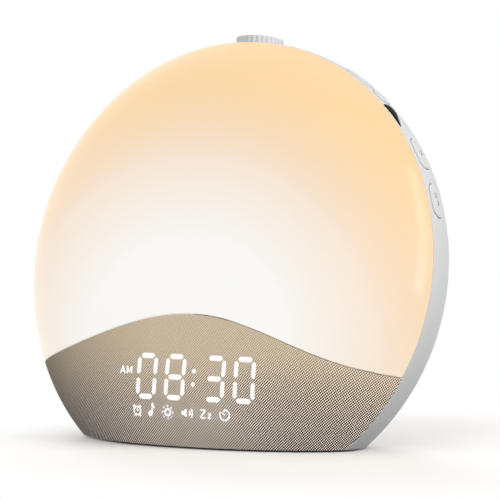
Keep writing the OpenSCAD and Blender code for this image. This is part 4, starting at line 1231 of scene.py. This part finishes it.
def lit_mesh(name, shapes, halo):
    """One mesh of many lit strokes laid on the cloth, each with a fading border."""
    points, heights, faces, fades = [], [], [], []
    for index, (lines, full) in enumerate(shapes):
        base = len(points)
        if len(lines) == 1:
            edge = split_outline(lines[0])
            n, inner = len(edge), widened(edge, -0.35 * halo)
            rows = [[inner.mean(0)], inner, widened(edge, halo)]
            faces += [(base, base + 1 + k, base + 1 + (k + 1) % n) for k in range(n)]
            faces += band_faces(2, n, base + 1)
            fades += [1.0] * (1 + n) + [0.0] * n
        else:
            (outside, inside), n = lines, len(lines[0])
            way = unit(outside - inside) * halo
            rows = [outside + way, outside - 0.3 * way, inside + 0.3 * way, inside - way]
            faces += band_faces(4, n, base, full)
            fades += [0.0] * n + [1.0] * (2 * n) + [0.0] * n
        points += [p for row in rows for p in row]
        # Strokes that cross lie at slightly different heights
        heights += [0.05 + 0.003 * (index % 12)] * (len(points) - base)
    flat = np.array(points)
    x, up = flat.T * MM
    laid = placed(x, up, face_height(np.hypot(x, up)) + np.array(heights) * MM)
    obj = mesh_object(name, laid, [facing_out(face, flat) for face in faces], closed=False)
    fade = obj.data.attributes.new("Fade", "FLOAT", "POINT")
    fade.data.foreach_set("value", np.array(fades, np.float32))
    return obj


def time_shapes(hour, minute):
    """The time in slanted seven-segment digits, with its colon."""
    lean = np.array([[1.0, 0.0], [SLANT, 1.0]])
    trim, level_width, upright_width = 0.95, 1.8, 1.5
    shapes = []
    for digit, x in zip(f"{hour:02d}{minute:02d}", DIGITS_AT):
        for on, ends in zip(SEGMENTS[int(digit)], SEGMENT_ENDS):
            if on == "1":
                a, b = np.array(ends[:2]) * DIGIT_HALF, np.array(ends[2:]) * DIGIT_HALF
                run = unit(b - a)
                width = level_width if run[0] else upright_width
                bar = stroke(a + run * trim, b - run * trim, width, TAPERED)
                shapes += moved([bar], x, DIGITS_UP, lean)
    for up in (2.6, -2.6):
        shapes += moved([filled(circle(16) * 0.8 + (up * SLANT, up))], COLON_AT, DIGITS_UP)
    return shapes


def icon_shapes():
    """The letters beside the time, and the row of pictograms under it."""
    bell = [ring(1.6), *path((0, 0.1), (0, 0.9)), *path((0, 0.1), (0.7, 0.1)),
            *path((-1.9, 1.5), (-1.0, 2.2)), *path((1.9, 1.5), (1.0, 2.2)),
            *path((-1.1, -1.5), (-1.6, -2.1)), *path((1.1, -1.5), (1.6, -2.1))]
    note = [filled(circle(16) * 1.05 + (-0.5, -0.8)), *path((0.4, -0.8), (0.4, 3.2), (1.5, 1.1))]
    sun = [ring(1.25, width=0.65)]
    for ray in circle(8):
        sun += path(ray * 2.2, ray * 2.7, width=0.7)
    sound = [filled([(-2.4, -0.7), (-1.5, -0.7), (-0.2, -1.7), (-0.2, 1.7), (-1.5, 0.7), (-2.4, 0.7)]),
             ring(1.4, -42, 42, 9), ring(2.5, -42, 42, 11)]
    snooze = [*path((-2.4, 1.5), (-0.2, 1.5), (-2.4, -1.5), (-0.2, -1.5)),
              *path((0.9, 0.1), (2.3, 0.1), (0.9, -1.5), (2.3, -1.5))]
    timer = [ring(2.05, -215, 100, 26), *path((-0.2, 2.05), (-0.2, 1.3)), *path((0.1, -0.1), (-0.9, 1.0))]
    letters = [*path((-3.2, -1.6), (-1.9, 1.6), (-0.6, -1.6)), *path((-2.7, -0.6), (-1.1, -0.6)),
               *path((0.5, -1.6), (0.5, 1.6), (1.75, -1.0), (3.0, 1.6), (3.0, -1.6))]
    shapes = moved(letters, -26.7, -44.4, np.diag([0.86, 0.9]))
    for pictogram, x in zip((bell, note, sun, sound, snooze, timer), PICTOGRAMS_AT):
        shapes += moved(pictogram, x, PICTOGRAMS_UP)
    return shapes


class CLOCK_OT_display(bpy.types.Operator):
    """Light the time and the pictograms behind the cloth"""

    bl_idname = "clock.display"
    bl_label = "Display"

    def execute(self, context):
        show, light = settings("clock_display"), lit_strokes()
        halo = show.halo / MM
        digits = lit_mesh("lit_digits", time_shapes(show.hour, show.minute), halo)
        icons = lit_mesh("lit_pictograms", icon_shapes(), halo * 0.6)
        for obj, stands_for in ((digits, "display_digits"), (icons, "display_icons")):
            dress(smooth(obj), "casing", "lit_symbol", light, stands_for)
        return {"FINISHED"}


# ---- Foot and works ----


class CLOCK_OT_works(bpy.types.Operator):
    """Finish the foot and everything inside the casing"""

    bl_idname = "clock.works"
    bl_label = "Foot and works"

    def execute(self, context):
        looks = [
            (moulded("Base Grey", (0.50, 0.50, 0.51), 0.93), "base_plate"),
            (moulded("Foot Rubber", (0.035, 0.035, 0.037), 0.75, 700.0, 0.4), "base_pad speaker_gasket"),
            (moulded("Panel Brown", (0.22, 0.19, 0.16), 0.9), "grille_panel"),
            (moulded("Frame White", (0.70, 0.70, 0.68)), "inner_frame"),
            (moulded("Board White", (0.82, 0.82, 0.79), 0.95, 400.0), "light_board"),
            (moulded("Diode Warm", (0.93, 0.80, 0.42), 0.85, 900.0, coat=0.5), "light_diodes"),
            (moulded("Reflector White", (0.88, 0.88, 0.86), 0.97), "reflector light_baffle"),
            (moulded("Part Black", (0.025, 0.025, 0.027), 0.8), "display_case cell_holder key_switches light_sensor"),
            (moulded("Chip Black", (0.018, 0.018, 0.02), 0.7, 2200.0, 0.3), "board_chips"),
            (moulded("Encoder Grey", (0.10, 0.10, 0.11), 0.85), "encoder_body"),
            (moulded("Slider Grey", (0.30, 0.30, 0.31), 0.9), "encoder_slider"),
            (moulded("Speaker Grey", (0.12, 0.12, 0.12), 0.85, 1200.0, 0.2, coat=0.3), "speaker_frame"),
            (moulded("Cone Paper", (0.028, 0.028, 0.032), 0.6, 500.0, 0.6, sheen=0.2), "speaker_cone speaker_cap"),
            (moulded("Capacitor Blue", (0.02, 0.04, 0.17), 0.8, 800.0, 0.05, coat=0.6), "capacitors"),
            (moulded("Ribbon White", (0.78, 0.78, 0.76), 0.85, 500.0), "display_ribbon light_ribbon"),
            (moulded("Lead Red", (0.38, 0.03, 0.02), 0.85, 900.0), "speaker_leads power_leads"),
            (moulded("Lead Grey", (0.24, 0.24, 0.25), 0.85, 900.0), "signal_leads"),
            (circuit_board(), "display_board encoder_board key_board main_board power_board"),
            (metal("Magnet Zinc", (0.50, 0.50, 0.50), 500.0), "speaker_magnet"),
            (metal("Bright Steel", (0.62, 0.62, 0.63)), "encoder_shaft switch_domes backup_cell power_socket "
                                                        "housing_screws frame_screws board_screws base_screws"),
        ]
        finishes = {name: finish for finish, names in looks for name in names.split()}
        for name, solid in frame["nodes"].items():
            if solid.hide_render:
                continue
            if name not in finishes:
                raise RuntimeError(f"the solid {name} has no finish")
            solid.data.materials.clear()
            solid.data.materials.append(finishes[name])
        return {"FINISHED"}


# ---- Stage ----

WHITE = (1.0, 1.0, 1.0, 1.0)


def background_rays(tree):
    """One for rays that show the background, by eye, by reflection or through glass."""
    path_node = node(tree, "ShaderNodeLightPath")
    eye, gloss, glass = (Value(path_node.outputs[f"Is {kind} Ray"]) for kind in ("Camera", "Glossy", "Transmission"))
    return eye.maths("MAXIMUM", gloss).maths("MAXIMUM", glass)


def make_floor():
    """A pale floor that keeps the clock's shadow and is plain white further out."""
    half = 4.0
    corners = [(-half, -half, 0), (half, -half, 0), (half, half, 0), (-half, half, 0)]
    floor = mesh_object("floor", corners, [(0, 1, 2, 3)], closed=False)
    material, tree, shader = new_material("Studio Floor")
    shadow_middle, shadow_end, white_from = (0.06, 0.0, 0.0), 0.095, 0.175
    distance = vector_maths(tree, "DISTANCE", {0: own_place(tree), 1: shadow_middle}, "Value")
    seen = background_rays(tree)
    colour = mixed(tree, seen, (0.15, 0.15, 0.15, 1.0), (1.03, 1.01, 0.99, 1.0))
    matt = value(tree, "ShaderNodeBsdfDiffuse", {"Color": colour})
    blank = value(tree, "ShaderNodeEmission", {"Color": WHITE, "Strength": 1.0})
    share = seen * distance.ramp(shadow_end, white_from, kind="SMOOTHSTEP")
    cover = value(tree, "ShaderNodeMixShader", {0: share, 1: matt, 2: blank})
    tree.nodes.remove(shader)
    feed(tree.get_output_node("ALL"), {"Surface": cover})
    floor.data.materials.append(material)


def make_world(even_light):
    """An even light, which looks plain white where it is seen."""
    world = bpy.data.worlds.new("Studio")
    bpy.context.scene.world = world
    world.use_nodes = True
    tree = world.node_tree
    tree.nodes.clear()
    strength = background_rays(tree).between(even_light, 1.0)
    even = value(tree, "ShaderNodeBackground", {"Color": WHITE, "Strength": strength})
    node(tree, "ShaderNodeOutputWorld", {"Surface": even})


def softbox(name, place, width, height, power, seen_in_gloss=False):
    """A rectangular lamp that faces the clock's foot."""
    data = bpy.data.lights.new(name, "AREA")
    data.shape = "RECTANGLE"
    data.size, data.size_y = width, height
    data.energy = power
    lamp = new_object(name, data)
    lamp.location = place
    lamp.rotation_euler = (Vector((0, 0, 0.08)) - Vector(place)).to_track_quat("-Z", "Y").to_euler()
    lamp.visible_glossy = seen_in_gloss
    return lamp


class CLOCK_OT_stage(bpy.types.Operator):
    """Set the floor, the lamps and the camera"""

    bl_idname = "clock.stage"
    bl_label = "Stage"

    def execute(self, context):
        stage = settings("clock_stage")
        context.scene.view_settings.view_transform = "Standard"
        make_floor()
        make_world(stage.world_light)
        softbox("overhead_softbox", (-0.1, -0.35, 1.1), 0.9, 0.9, stage.key_light)
        softbox("front_softbox", (0.25, -1.15, 0.35), 0.6, 0.6, stage.fill_light)
        softbox("side_softbox", (1.1, 0.1, 0.45), 0.5, 0.5, stage.side_light)
        softbox("back_softbox", (-0.8, 0.9, 0.5), 0.7, 0.7, stage.back_light)
        strip = softbox("edge_strip", (0.95, 0.0125, 0.539), 0.12, 1.0, stage.strip_light, seen_in_gloss=True)
        length, facing = Vector((0.0, 0.297, 0.95)).normalized(), Vector((1.0, 0.0, 0.0))
        strip.rotation_euler = Matrix((length.cross(facing), length, facing)).transposed().to_euler()
        data = bpy.data.cameras.new("camera")
        data.lens = stage.lens
        data.sensor_width = 36
        camera = new_object("camera", data)
        camera.location = stage.camera_place
        camera.rotation_euler = Vector(stage.camera_aim).to_track_quat("-Z", "Y").to_euler()
        context.scene.camera = camera
        return {"FINISHED"}


# ---- Panel and registration ----

OPERATORS = [CLOCK_OT_diffuser, CLOCK_OT_cloth, CLOCK_OT_casing, CLOCK_OT_keys, CLOCK_OT_window,
             CLOCK_OT_knob, CLOCK_OT_display, CLOCK_OT_works, CLOCK_OT_stage]


class CLOCK_PT_sidebar(bpy.types.Panel):
    """Sizes, colours and steps of the clock"""

    bl_idname = "CLOCK_PT_sidebar"
    bl_label = "Sunrise Alarm Clock"
    bl_space_type = "VIEW_3D"
    bl_region_type = "UI"
    bl_category = "Clock"

    def draw(self, context):
        for name, kind in SETTINGS.items():
            box = self.layout.box()
            box.label(text=kind.__doc__)
            for key in kind.__annotations__:
                box.prop(getattr(context.scene, name), key)
        for operator in OPERATORS:
            self.layout.operator(operator.bl_idname)


def register():
    for kind in [*SETTINGS.values(), *OPERATORS, CLOCK_PT_sidebar]:
        bpy.utils.register_class(kind)
    for name, kind in SETTINGS.items():
        setattr(bpy.types.Scene, name, bpy.props.PointerProperty(type=kind))


def unregister():
    for name in SETTINGS:
        delattr(bpy.types.Scene, name)
    for kind in [CLOCK_PT_sidebar, *reversed(OPERATORS), *reversed(SETTINGS.values())]:
        bpy.utils.unregister_class(kind)


def main():
    register()
    for operator in OPERATORS:
        getattr(bpy.ops.clock, operator.bl_idname.split(".")[1])()


if __name__ == "__main__":
    main()
